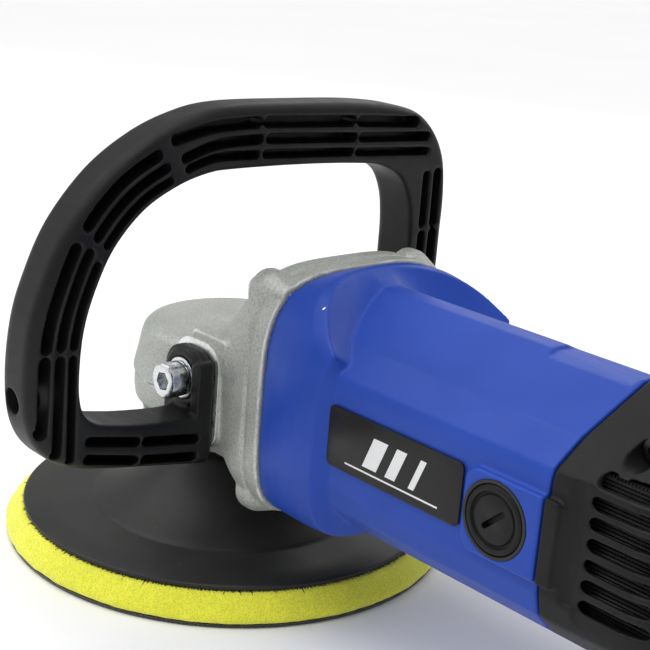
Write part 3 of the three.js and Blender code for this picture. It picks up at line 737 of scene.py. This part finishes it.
def handle_section(outer, inner):
    """The rounded section between two edge points, across the handle's thickness."""
    front, rear = HANDLE_X
    width = math.hypot(inner[0] - outer[0], inner[1] - outer[1])
    slot_side_r, crisp_r = 4.4, 1.3
    inner_r = min(4.2, width / 2.4)
    outer_r = min(6.8, width - inner_r - 0.5)
    across = (
        arc((rear - slot_side_r, slot_side_r), slot_side_r, -90, 0, 6)
        + arc((rear - crisp_r, width - crisp_r), crisp_r, 0, 90, 4)
        + arc((front + inner_r, width - inner_r), inner_r, 90, 180, 6)
        + arc((front + outer_r, outer_r), outer_r, 180, 270, 8)
    )
    dy, dz = (inner[0] - outer[0]) / width, (inner[1] - outer[1]) / width
    return [(x, outer[0] + dy * depth, outer[1] + dz * depth) for x, depth in across]


def make_handle():
    loop = skin([handle_section(row[:2], row[2:]) for row in handle_rails(7)])
    at_bolt = (BOLT_X, 0, BOLT_Z)
    foot = rounded_block(span("d_handle", "x"), (52.2, 95), 9.5, -FOOT_OUT_Y, -FOOT_Y)
    rib = rounded_block((40.6, 45), (56, 92), 2.1, -53.4, -FOOT_Y)
    seat_r = 7.9
    collar = tube("y", seat_r, 10.6, -51.6, -FOOT_Y, at_bolt)
    slots = [
        prism("x", capsule(path, width), HANDLE_X[1] - 9, HANDLE_X[1] + 2)
        for width, path in slot_paths()
    ]
    round_hole = rod("y", 4.5, -130, -110, (33.7, 0, 87.6))
    bolt_hole = rod("y", 4.7, -70, -40, at_bolt)
    seat = rod("y", seat_r, -70, -FOOT_OUT_Y, at_bolt)
    handle = moulded(
        "d_handle_moulding",
        [loop, *both_sides(foot, rib, collar)],
        [*slots, round_hole, *both_sides(bolt_hole, seat)],
        voxel=0.55,
        rounds=3,
        thin=0.5,
    )
    finish_piece(handle, "tool", "black_plastic", "d_handle", material=HANDLE_PLASTIC)


# ---- the gear case and the bearing box ----
def make_gear_case():
    nose_top = 88.7
    bolt_bore_r = 4.6
    at_bolt = (BOLT_X, 0, BOLT_Z)
    at_button = (0, 0, LOCK_BUTTON_Z)
    nose = revolve("z", [
        (0, BOX_SPLIT_Z + GAP), (40.9, BOX_SPLIT_Z + GAP), (40.9, 69.6), (40.2, 73), (39.5, 76), (38.2, 83),
        (37.2, 86), (35.4, 87.8), (32.6, nose_top), (0, nose_top + 0.2),
    ], sides=128)
    flange = oval(46.2, 46, 44.9, 3.7, 4.5)
    neck = loft([
        (9, 75, oval(35, 12.6, 8, 4)), (22, 76, oval(40.4, 14.6, 10, 4)), (32, 78, oval(43.2, 20.5, 30, 3.4)),
        (42, 82, oval(44.2, 31.5, 38, 3.2)), (50, MOTOR_Z, oval(45, 42, 42, 3.4, 4.2)),
        (56, MOTOR_Z, oval(45.9, 46.2, 44.6, 3.6, 4.4)), (61.2, MOTOR_Z, flange),
    ], steps=5, straight=[
        (61.8, MOTOR_Z, inset(flange, 1)), (62.8, MOTOR_Z, inset(flange, 1)), (63.4, MOTOR_Z, flange),
        (FLANGE_X - GAP, MOTOR_Z, flange),
    ])
    first = [nose, neck]
    seats = []
    lug = [(0, 54.6), (7.4, 54.6), (8.4, 55.8), (8.4, 60.5), (4.6, 69.7), (0, 69.7)]
    lug_tail = [(0, 44), (1, 44), (6.6, 56), (0, 56)]
    for side in SIDES:
        for level in SIDES:
            at = (0, side * LUG_Y, MOTOR_Z + level * LUG_Z)
            first.append(revolve("x", lug, at))
            first.append(revolve("x", lug_tail, (0, at[1] * 0.97, at[2] - level * 2)))
            seats.append(rod("x", 5.3, 40, 54.9, at))
    boss = rounded_block((20.6, 46.4), (57, 97), 8.5, -BOSS_Y, -30)
    ledge = rounded_block((29, 50), (88, 100.5), 1.6, -45.5, -30)
    first += both_sides(boss, ledge)
    cuts = [
        rod("z", 41.2, 20, BOX_SPLIT_Z + GAP, sides=128),
        revolve("z", [(0, 67), (36.6, 67), (34, 84.4), (0, 84.4)]),
        block((0, 43), (-20, 20), (54, 84.4)),
        loft([
            (52, MOTOR_Z, oval(39, 38, 36, 3)), (FLANGE_X + 1, MOTOR_Z, oval(41.5, 41.5, 40, 3.5)),
        ], steps=1),
        *seats,
        *both_sides(rod("y", bolt_bore_r, -52, -27, at_bolt)),
    ]
    bearing_seat = tube("z", 9.4, 12.6, 73.8, 86)
    lock_boss = rod("y", 9, 30, 40.6, at_button)
    button_recess = rod("y", 6.7, 36.4, 60, at_button)
    pin_bore = rod("y", 3, 20, 50, (0, 0, LOCK_PIN_Z))
    case = moulded(
        "gear_case_casting", first, cuts, [bearing_seat, lock_boss], [button_recess, pin_bore], voxel=0.66
    )
    finish_piece(case, "tool", "cast_aluminium", "gear_case")
    face = rounded_block((20.9, 46.7), (56.6, 97.3), 8.8, -BOSS_Y - 0.12, -BOSS_Y + 1.4)
    for side, shape in (("left", face), ("right", mirrored(face))):
        plate = machined("machined_face_" + side, [shape], 0.3)
        boolean(plate, [rod("y", bolt_bore_r, -60, 60, at_bolt)])
        finish_piece(plate, "tool", "cast_aluminium", material=MACHINED_FACE)


def make_bearing_box():
    body = revolve("z", [
        (12, BOX_BOTTOM_Z), (23.4, BOX_BOTTOM_Z), (24.2, 41.2), (27.8, 47.6), (35, 53), (39.7, 58),
        (40.3, 62), (40.3, BOX_SPLIT_Z), (36.6, BOX_SPLIT_Z), (36.6, 58), (31.4, 52.3), (16.4, 52.3),
        (16.4, 42), (12, 42),
    ], sides=128)
    screw_bosses, screw_holes = [], []
    for along in SIDES:
        for across in SIDES:
            at = (along * 25.5, across * 25.5, 0)
            screw_bosses.append(rod("z", 4.6, 57, BOX_SPLIT_Z, at))
            screw_holes += [rod("z", 2.4, 50, 70, at), rod("z", 4.1, 46, 57.2, at)]
    ribs = []
    rib_count, rib_half_width = 12, 0.9
    for k in range(rib_count):
        angle = 2 * math.pi * (k + 0.5) / rib_count
        away = (math.cos(angle), math.sin(angle))
        ribs.append(prism("z", [
            (r * away[0] - s * away[1], r * away[1] + s * away[0])
            for r, s in (
                (24, -rib_half_width), (38.6, -rib_half_width), (38.6, rib_half_width), (24, rib_half_width)
            )
        ], 47.5, 60))
    shaft_openings = [block((24, 35.4), (-12, 12), (54.4, 70)), block((26, 44), (-11, 11), (58.8, 70))]
    around = revolve("z", [(39.6, 46), (60, 46), (60, 70), (40.5, 70), (40.5, 62)])
    box = moulded(
        "bearing_box_casting",
        [body],
        then=[*screw_bosses, *ribs],
        last=[*screw_holes, *shaft_openings, around],
        voxel=0.66,
    )
    finish_piece(box, "tool", "cast_aluminium", "bearing_box")


# ---- the motor housing ----
FLANGE = oval(44.7, 45, 44, 3.7, 4.5)
BULGE = oval(47, 46, 43.7, 3.3, 4.2)
LEFT_SIDE = [(-25, 33.2), (-37, 26.5), (-41.5, 24.5), (-43, 18), (-43, -17), (-41, -25), (-34, -32)]
TOP_ARC = arc((0, 0), 41.5, 56, 124, 13)
UNDERSIDE = [(-24, -38.5), (-10, -41), (10, -41), (24, -38.5)]
BODY = faceted([*TOP_ARC, *LEFT_SIDE, *UNDERSIDE, *[(-y, z) for y, z in LEFT_SIDE][::-1]])


def housing_shell(front, rear, margin=0.0):
    """The housing's outside less a margin: a bulge behind the flange, then the faceted body.
    The bulge ends in two creases that run forwards over the top. A station's place is a share of the
    way from the front to the outer crease."""
    sides = 208
    angles = [2 * math.pi * i / sides for i in range(sides)]
    stations = (
        (0, FLANGE), (0.2, between(FLANGE, BULGE, 0.55)), (0.45, between(FLANGE, BULGE, 0.9)), (0.7, BULGE),
        (1, between(BULGE, BODY, 0.08)), ("inner crease", BODY), ("rear", BODY),
    )
    rows = []
    for place, section in stations:
        row = []
        for angle in angles:
            over_top = max(0.0, math.sin(angle) - 0.55) / 0.45
            down_side = min(1.0, max(0.0, 0.55 - math.sin(angle)) / 0.25)
            inner_crease = 104.5 - 21 * over_top ** 0.9
            outer_crease = inner_crease - 1.6 - 7 * over_top ** 0.7 - 4 * down_side
            if place == "inner crease":
                x = inner_crease
            elif place == "rear":
                x = rear
            else:
                x = front + place * (outer_crease - front)
            row.append((x, *polar(section(angle) - margin, angle, (0, MOTOR_Z))))
        rows.append(row)
    return skin(rows)


def top_panel():
    """The shallow recess in the top of the housing, up to its lip at the seam."""
    half_width, corner_start, floor_r, above = 23.5, 20, 40.2, 130
    rows = []
    for k in range(25):
        y = -half_width + 2 * half_width * k / 24
        corner = max(0.0, abs(y) - corner_start) / (half_width - corner_start)
        front = 160 + 7 * (y / half_width) ** 2 + 2.5 * (1 - math.sqrt(max(0.0, 1 - corner ** 2)))
        floor = MOTOR_Z + math.sqrt(floor_r ** 2 - y ** 2)
        rear = SEAM_X - 2.2
        rows.append([(front, y, floor), (rear, y, floor), (rear, y, above), (front, y, above)])
    return skin(rows)


def side_groove(floor_y, front, rear):
    """A shallow groove along the left side, above the label. Its lower face reaches in to floor_y."""
    return prism("x", [(-38.6, 111), (-44, 113.6), (-44, 109.4), (floor_y, 109.4)], front, rear)


def make_motor_housing():
    at_motor = (0, 0, MOTOR_Z)
    at_cap = (CAP_X, 0, MOTOR_Z)
    outer = housing_shell(FLANGE_X, SEAM_X)
    bore = housing_shell(FLANGE_X - 2, SEAM_X + 2, WALL)
    beyond_seam = block((SEAM_X - GAP, 260), (-90, 90), (0, 200))
    platform = rounded_block((165.6, SEAM_X + 8), CAP_PLATFORM_Z, 5, -45.8, -41)
    cap_boss = rod("y", 13, -42, -31, at_cap)
    cap_hole = [rod("y", 8.9, -52, -30.8, at_cap), rod("y", 11.9, -52, -42.7, at_cap)]
    bearing_boss = rod("x", 14.5, 188, SEAM_X - GAP, at_motor)
    bearing_hole = [rod("x", 11.3, 189, 200, at_motor), rod("x", 6, 180, 200, at_motor)]
    spider_x = (189, 193)
    spider = [
        block(spider_x, (-41.5, 41.5), (MOTOR_Z - 3, MOTOR_Z + 3)),
        block(spider_x, (-3, 3), (MOTOR_Z - 39, MOTOR_Z + 40)),
    ]
    screw_bosses = [
        rod("x", 4.4, FLANGE_X, 80, (0, side * (LUG_Y - 1), MOTOR_Z + level * (LUG_Z - 1)))
        for side in SIDES for level in SIDES
    ]
    housing = moulded(
        "motor_housing_moulding",
        [outer, *both_sides(platform)],
        [bore, beyond_seam, *both_sides(side_groove(-40.7, 104, 250)), top_panel()],
        [*both_sides(cap_boss), bearing_boss, *spider, *screw_bosses],
        [*both_sides(*cap_hole), *bearing_hole],
        voxel=0.62,
        rounds=3,
        thin=0.4,
    )
    finish_piece(housing, "tool", "blue_plastic", "motor_housing")


def make_labels():
    """Black label plates with a plain mark of three slanted bars over a line."""
    for side, outward in OUTWARD.items():
        node = "label_plate_" + side
        xs, ys, zs = span(node, "x"), span(node, "y"), span(node, "z")
        plate = machined(node + "_film", [rounded_block(xs, zs, 2.2, *ys)], 0.15)
        finish_piece(plate, "tool", "label", node)
        face = ys[0] if side == "left" else ys[1]
        under = face - 0.05 * outward
        centre_z = sum(zs) / 2
        low, high, lean = centre_z - 5.5, centre_z + 5.5, 4.5
        shapes = []
        for k, width in enumerate((6.5, 4.5, 2.5)):
            left = xs[0] + 17 + 10.5 * k
            outline = [(left, low), (left + width, low), (left + width + lean, high), (left + lean, high)]
            shapes.append(prism("y", outline, under, face + 0.08 * outward))
        line_z = (centre_z - 7.6, centre_z - 7.0)
        shapes.append(block((xs[0] + 9, xs[1] - 9), (under, face + 0.06 * outward), line_z))
        finish_piece(machined(node + "_mark", shapes, 0.03, 1), "tool", "label", material=MARK_PAINT)


def make_brush_caps():
    at_cap = (CAP_X, 0, MOTOR_Z)
    turn = math.radians(42)
    slot_line = [polar(reach, turn, (CAP_X, MOTOR_Z)) for reach in (-4.3, 0, 4.3)]
    for side, outward in OUTWARD.items():
        node = "brush_cap_" + side
        face = max(abs(y) for y in span(node, "y"))
        profile = [
            (0, 31.4), (8.3, 31.4), (8.3, 43.2), (10.2, 43.4), (11, 43.9), (11, 45.3), (10.6, face - 0.25),
            (9.9, face), (8.9, face), (8.6, face - 1.1), (7.9, face - 1.1), (7.6, face - 0.4),
            (0, face - 0.3),
        ]
        turned = revolve("y", [(r, outward * y) for r, y in profile], at_cap)
        cap = machined(node + "_moulding", [turned])
        slot_depth = sorted((outward * (face - 2.6), outward * (face + 1)))
        boolean(cap, [prism("y", capsule(slot_line, 1.9), *slot_depth)])
        cap.data.set_sharp_from_angle(angle=math.radians(35))
        finish_piece(cap, "tool", "black_plastic", node)
        ring = tube("y", 11.15, 12.3, *sorted((outward * 43, outward * 45.9)), at_cap)
        finish_piece(machined("brush_cap_seal_" + side, [ring], 0.2), "tool", "rubber")


# ---- the rear handle ----
GRIP_STATIONS = [
    (SEAM_X + GAP, MOTOR_Z, BODY), (222, MOTOR_Z, inset(BODY, 0.8)),
    (236, MOTOR_Z + 1, between(BODY, oval(33, 31, 29, 2.6), 0.5)), (250, MOTOR_Z + 4, oval(28, 27, 22, 2.6)),
    *[(x, GRIP_Z, oval(*size)) for x, *size in (
        (266, 21, 21.5, 18, 2.6), (300, 19.5, 19.5, 17, 2.6), (335, 20, 20, 17.5, 2.6),
        (366, 23, 23, 21, 2.8), (384, 24, 24, 22.5, 2.8), (390, 22.5, 22.5, 21, 2.6),
        (TAIL_X, 19, 19, 18, 2.4),
    )],
]
# The place along Y where the recess for each shell screw's head ends.
SCREW_HEAD_Y = {"handle_shell_screw_1": -22, "handle_shell_screw_2": -20, "handle_shell_screw_3": -18}
SCREEN_X, SCREEN_Z = (206, 233), (59, 107)


def rear_handle_cuts():
    """The hollow inside, and the openings for the vents, trigger, dial and cord."""
    bore = loft([
        (x if k else x - 2, z, inset(section, WALL - 0.4))
        for k, (x, z, section) in enumerate(GRIP_STATIONS[:-2])
    ], steps=5)
    dial_x, _, dial_z = middle("speed_dial")
    trigger_x = span("trigger", "x")
    hollow_beside_post = rod("z", 6, 66, 104, (206.4, -47.4, 0))
    side_panel = rounded_block((207.5, 231.5), (60, 108.6), 5, -60, -41.6)
    cuts = [
        bore,
        block((SEAM_X - 20, SEAM_X + GAP), (-60, 60), (0, 200)),
        rounded_block((trigger_x[0] - 2, trigger_x[1] + 5), (50, 82), 3, -7.7, 7.7),
        rounded_block((dial_x - 13, dial_x + 13), (dial_z - 13, 130), 2, -3.4, 3.4),
        rod("x", 7.3, TAIL_X - 14, TAIL_X + 5, (0, 0, GRIP_Z)),
        *both_sides(hollow_beside_post, side_panel, side_groove(-40.4, 190, 209)),
    ]
    vent_count, vent_top_z, vent_pitch, vent_width = 7, 106, 6.4, 4.0
    for k in range(vent_count):
        z = vent_top_z - vent_pitch * k
        cuts += both_sides(prism("y", capsule([(211, z), (230, z)], vent_width), -50, -27))
    return cuts


def grip_ribs():
    """Ribs under the fingers and the palm, on both sides of the grip."""
    rib_count, rib_pitch, rib_width = 13, 3.6, 1.8
    rib = arc((0, GRIP_Z), 20.9, 154, 206, 11) + arc((0, GRIP_Z), 15, 206, 154, 5)
    ribs = []
    for k in range(rib_count):
        x = 290 + rib_pitch * k
        ribs += both_sides(prism("x", rib, x, x + rib_width))
    return ribs


def make_rear_handle():
    body = loft(GRIP_STATIONS, steps=5)
    platform = rounded_block((SEAM_X - 10, 203), CAP_PLATFORM_Z, 4, -45.6, -40)
    inner = new_object("inner_shapes", [block((276, 279), (-17, 17), (MOTOR_Z - 1, MOTOR_Z + 21))])
    screw_at = {node: (middle(node)[0], 0, middle(node)[2]) for node in SCREW_HEAD_Y}
    boolean(inner, [rod("y", 5.8, -60, 60, at) for at in screw_at.values()], "UNION")
    boolean(inner, [body], "INTERSECT")
    lock_x, _, lock_z = middle("lock_on_button")
    holes = [rod("y", 5.7, -30, -7, (lock_x, 0, lock_z))]
    for node, head_y in SCREW_HEAD_Y.items():
        holes += [rod("y", 4.4, -60, head_y, screw_at[node]), rod("y", 2.3, -60, 14, screw_at[node])]
    whole = new_object("rear_handle_moulding", [body])
    boolean(whole, both_sides(platform), "UNION")
    boolean(whole, rear_handle_cuts())
    boolean(whole, [inner, *grip_ribs()], "UNION")
    boolean(whole, holes)
    for side, reach in (("left", (-70, -GAP / 2)), ("right", (GAP / 2, 70))):
        piece = add_object("rear_handle_" + side + "_moulding", whole.data.copy())
        boolean(piece, [block((150, 420), reach, (0, 180))], "INTERSECT")
        soften(piece, 0.66, 3, 0.45)
        finish_piece(piece, "tool", "black_plastic", "rear_handle_" + side)
    bpy.data.objects.remove(whole)


def make_dust_screens_and_shade_sheets():
    """A wire mesh behind the vents on each side, on a thin black sheet that is painted shade: the sheet
    stands in for the dark inside of the rear handle seen through the vents.
    """
    pitch, wire = 1.2, 0.7
    for side, outward in OUTWARD.items():
        wires = []
        for k in range(40):
            z = SCREEN_Z[0] + pitch * k
            wires.append(block(SCREEN_X, sorted((outward * 36.2, outward * 36.9)), (z, z + wire)))
        for k in range(23):
            x = SCREEN_X[0] + pitch * k
            wires.append(block((x, x + wire), sorted((outward * 35.7, outward * 36.3)), SCREEN_Z))
        # The sheet is painted shade: plain black plastic that stands in for the dark inside of the rear
        # handle, seen through the vents.
        painted_shade_sheet = block(SCREEN_X, sorted((outward * 34.6, outward * 35.4)), SCREEN_Z)
        screen = new_object("dust_screen_and_shade_sheet_" + side, [*wires, painted_shade_sheet])
        finish_piece(screen, "tool", "black_plastic", material=HANDLE_PLASTIC)


# ---- trigger, buttons, dial and gland ----
def make_trigger():
    rear = span("trigger", "x")[1]
    pivot = (270, 77)
    finger_side = smooth_path([
        (318.4, 63.6), (315, 61.6), (309, 61.4), (293, 63.6), (277, 61.2), (270, 61.4), (265.4, 66),
    ], 5)
    outline = arc(pivot, 3.9, 180, 0, 9) + [(278, 77), (318, 77), (rear, 66)] + finger_side
    grooves = [
        prism("x", [(-7.4, z), (-6.5, z + 0.6), (-7.4, z + 1.2)], 272, 312) for z in (64.5, 67.5)
    ]
    body = prism("y", outline, *span("trigger", "y"))
    trigger = moulded("trigger_moulding", [body], grooves, voxel=0.45, rounds=5, thin=0.5)
    finish_piece(trigger, "trigger", "black_plastic", "trigger")


def make_lock_on_button():
    x, _, z = middle("lock_on_button")
    low, high = span("lock_on_button", "y")
    button = machined("lock_on_button_moulding", [revolve("y", [
        (0, low + 0.35), (2.6, low + 0.3), (3.6, low), (4.5, low), (5, low + 0.5), (5, high), (0, high),
    ], (x, 0, z), 64)], 0.2)
    finish_piece(button, "lock_on_button", "black_plastic", "lock_on_button")


def make_spindle_lock():
    low, high = span("spindle_lock_button", "y")
    head = revolve("y", [
        (0, 41.5), (5.4, 41.5), (5.7, 41.9), (5.7, high - 0.8), (5.2, high - 0.1), (4.2, high),
        (3.4, high - 0.5), (0, high - 0.8),
    ], (0, 0, LOCK_BUTTON_Z), 64)
    pin_profile = [(0, low), (1.7, low), (2.2, low + 0.6), (2.2, 42), (0, 42)]
    pin = revolve("y", pin_profile, (0, 0, LOCK_PIN_Z), 40)
    lock = machined("spindle_lock_moulding", [head, pin], 0.15)
    finish_piece(lock, "spindle_lock_button", "black_plastic", "spindle_lock_button")


def make_speed_dial():
    """A thumbwheel with 24 rounded teeth."""
    x, _, z = middle("speed_dial")
    outline = []
    for k in range(192):
        angle = 2 * math.pi * k / 192
        radius = 11.6 + 0.36 * math.tanh(2.5 * math.sin(24 * angle))
        outline.append(polar(radius, angle, (x, z)))
    wheel = prism("y", outline, *span("speed_dial", "y"))
    dial = machined("speed_dial_moulding", [wheel], 0.3, 2, sharp=50)
    finish_piece(dial, "speed_dial", "grey_plastic", "speed_dial")


def make_cord_gland():
    start, end = span("cord_gland", "x")
    gland = machined("cord_gland_moulding", [revolve("x", [
        (3.6, start), (9.6, start), (10, start + 0.4), (10, start + 2.1), (7, start + 2.1), (7, TAIL_X + 0.3),
        (9.5, TAIL_X + 0.3), (9.5, TAIL_X + 1.8), (8.3, TAIL_X + 2.3), (8.3, TAIL_X + 3.4), (9, TAIL_X + 4),
        (9, TAIL_X + 5.2), (7.8, TAIL_X + 5.8), (7.6, end - 0.4), (7.1, end), (4.1, end), (3.6, end - 0.5),
    ], (0, 0, middle("cord_gland")[2]))], 0.2)
    finish_piece(gland, "tool", "rubber", "cord_gland")


# ---- screws and bolts ----
def make_screw(node, axis, head_low, head_length, shank, drive=0.5, material=None):
    """A socket-head screw in the place of a node, with its head at the low or the high end.
    The socket is a hexagon whose size is a share, drive, of the head's."""
    low, high = span(node, axis)
    across, upright = {"x": (1, 2), "y": (0, 2), "z": (0, 1)}[axis]
    first_low, first_high = span(node, "xyz"[across])
    head = (first_high - first_low) / 2
    centre = middle(node)
    centre["xyz".index(axis)] = 0
    out, way = (low, 1) if head_low else (high, -1)
    length = high - low
    profile = [(0, 0), (head - 0.7, 0), (head - 0.15, 0.35), (head, 0.9), (head, head_length - 0.2)]
    profile += [(head - 0.2, head_length), (shank, head_length)]
    for k in range(int(length - head_length - 3)):
        crest = head_length + 2 + k
        profile += [(shank, crest), (shank * 0.88, crest + 0.5)]
    profile += [(shank, length - 0.8), (shank * 0.75, length), (0, length)]
    turned = revolve(axis, [(r, out + way * depth) for r, depth in profile], centre, 56)
    screw = new_object(node + "_turned", [turned])
    hexagon = [
        polar(head * drive, math.radians(60 * k + 12), (centre[across], centre[upright])) for k in range(6)
    ]
    socket_depth = sorted((out - way * 1, out + way * head_length * 0.55))
    boolean(screw, [prism(axis, hexagon, *socket_depth)])
    shade(screw, 35)
    finish_piece(screw, "tool", "zinc", node, material=material)


def make_fasteners():
    for k in range(1, 5):
        make_screw(f"gear_case_screw_{k}", "x", True, 4.3, 2.5)
        make_screw(f"bearing_box_screw_{k}", "z", True, 3.2, 2)
    for node in SCREW_HEAD_Y:
        make_screw(node, "y", True, 2.3, 1.8, material=DARK_STEEL)
    make_screw("handle_bolt_left", "y", True, 7.6, 4, drive=0.56)
    make_screw("handle_bolt_right", "y", False, 7.6, 4, drive=0.56)
    for side in OUTWARD:
        node = "handle_washer_" + side
        x, _, z = middle(node)
        low, high = span(node, "y")
        washer = machined(node + "_turned", [tube("y", 4.5, 7.6, low, high, (x, 0, z))], 0.25)
        finish_piece(washer, "tool", "zinc", node)


# ---- pad and spindle ----
def make_backing_disc():
    profile = [
        (13.3, 15.9), (20.4, 15.9), (20.4, DISC_Z), (DISC_R - 1.2, DISC_Z), (DISC_R - 0.4, DISC_Z + 0.3),
        (DISC_R, DISC_Z + 1), (DISC_R - 0.2, DISC_Z + 1.7), (DISC_R - 1, DISC_Z + 2.15), (70, 13.9),
        (56.4, 13.75), (55.2, 13.9), (54.5, 14.5), (53.7, 14.9), (50, 16.2), (44, 19), (38, 22.6),
        (32, 26.7), (27, 30.3), (22, 33.9), (20.4, 35.4), (19.4, HUB_TOP_Z - 0.2), (18.6, HUB_TOP_Z),
        (13.3, HUB_TOP_Z),
    ]
    disc = new_object("backing_pad_moulding", [revolve("z", profile, sides=256)])
    shade(disc, 50)
    finish_piece(disc, "spindle", "rubber", "backing_pad")


def make_foam():
    """The foam pad, with an uneven cut edge."""
    low, high = span("foam_layer", "z")
    edge = smooth_path([
        (PAD_R - 1.6, low), (PAD_R - 0.5, low + 0.7), (PAD_R - 0.05, low + 1.9), (PAD_R - 0.5, low + 3.8),
        (PAD_R - 2.2, low + 6), (PAD_R - 4, low + 8), (PAD_R - 5.2, low + 9.3), (PAD_R - 6.2, high),
    ], 4)
    rows = [(r, low) for r in (0, 20, 40, 60, 75, 84)] + edge + [(r, high) for r in (80, 70, 50, 25, 0)]
    pad = new_object("foam_pad", [revolve("z", rows, sides=720)])
    for vertex in pad.data.vertices:
        radius = math.hypot(vertex.co.x, vertex.co.y) / MM
        if radius > 80:
            ripple = noise.noise(vertex.co * 90) * 0.45 + noise.noise(vertex.co * 330) * 0.22 - 0.25
            scale = 1 + min(ripple, 0.0) / radius
            vertex.co.x *= scale
            vertex.co.y *= scale
    pad.data.shade_smooth()
    finish_piece(pad, "spindle", "foam", "foam_layer")


def make_hook_facing():
    bottom, top = span("hook_layer", "z")
    rim = span("hook_layer", "x")[1]
    facing = new_object("hook_facing", [revolve("z", [
        (0, bottom), (rim - 0.8, bottom), (rim - 0.1, bottom + 0.4), (rim, top), (0, top),
    ], sides=256)])
    finish_piece(facing, "spindle", "hook", "hook_layer")


def make_fringe():
    """A fringe of loop fibres that stands out between the rubber disc and the foam."""
    random.seed(7)
    count, thickness = 520, 0.16
    root = DISC_R - 0.9
    faces = [[0, 1, 3, 2], [4, 5, 7, 6], [0, 1, 5, 4], [2, 3, 7, 6], [0, 2, 6, 4], [1, 3, 7, 5]]
    fibres = []
    for k in range(count):
        angle = 2 * math.pi * (k + random.uniform(-0.4, 0.4)) / count
        length = random.uniform(0.5, 1.6) + (random.random() < 0.18) * random.uniform(0.6, 1.6)
        lean = random.uniform(-0.7, 0.7)
        width = random.uniform(0.16, 0.34)
        z = random.uniform(11.62, 11.85)
        drop = length * random.uniform(0.15, 0.5)
        corners = []
        for r, shift, half, height in ((root, 0, width, z), (root + length, lean, width * 0.3, z - drop)):
            for side in SIDES:
                for lift in (0, thickness):
                    u = shift + side * half
                    corners.append((
                        r * math.cos(angle) - u * math.sin(angle),
                        r * math.sin(angle) + u * math.cos(angle),
                        height + lift,
                    ))
        fibres.append((corners, faces))
    finish_piece(new_object("loop_fringe", fibres), "spindle", "hook")


def make_spindle():
    low, high = span("spindle", "z")
    thread_r, thread_root_r, thread_pitch = 6.8, 6.2, 1.5
    profile = [(0, low), (5.9, low), (6.7, low + 0.9)]
    z = low + 2
    while z < 35:
        profile += [(thread_r, z), (thread_root_r, z + thread_pitch / 2)]
        z += thread_pitch
    profile += [
        (thread_r, 36.6), (9.7, 36.8), (10, 37.1), (10, 41.6), (9.7, 41.9), (6, 41.9), (6, 67), (7.9, 67),
        (7.9, 73.4), (5, 73.4), (5, high - 0.4), (4.6, high), (0, high),
    ]
    spindle = new_object("spindle_turned", [revolve("z", profile)])
    flats = both_sides(block((-12, 12), (-12, -8.5), (36.2, 41.7)))
    boolean(spindle, [*flats, *[rod(axis, 2.7, -9, 9, (0, 0, LOCK_PIN_Z)) for axis in "yx"]])
    shade(spindle, 35)
    finish_piece(spindle, "spindle", "steel", "spindle")


def dress_cad_nodes():
    """The CAD solids that stay in view or inside keep their shape and get the slot's material."""
    for name, node in frame["nodes"].items():
        if node.hide_render:
            continue
        node.data.materials.clear()
        node.data.materials.append(MATERIALS[SLOT_OF[name]])


set_camera()
set_stage()
make_handle()
make_gear_case()
make_bearing_box()
make_motor_housing()
make_labels()
make_brush_caps()
make_rear_handle()
make_dust_screens_and_shade_sheets()
make_trigger()
make_lock_on_button()
make_spindle_lock()
make_speed_dial()
make_cord_gland()
make_fasteners()
make_backing_disc()
make_foam()
make_hook_facing()
make_fringe()
make_spindle()
dress_cad_nodes()
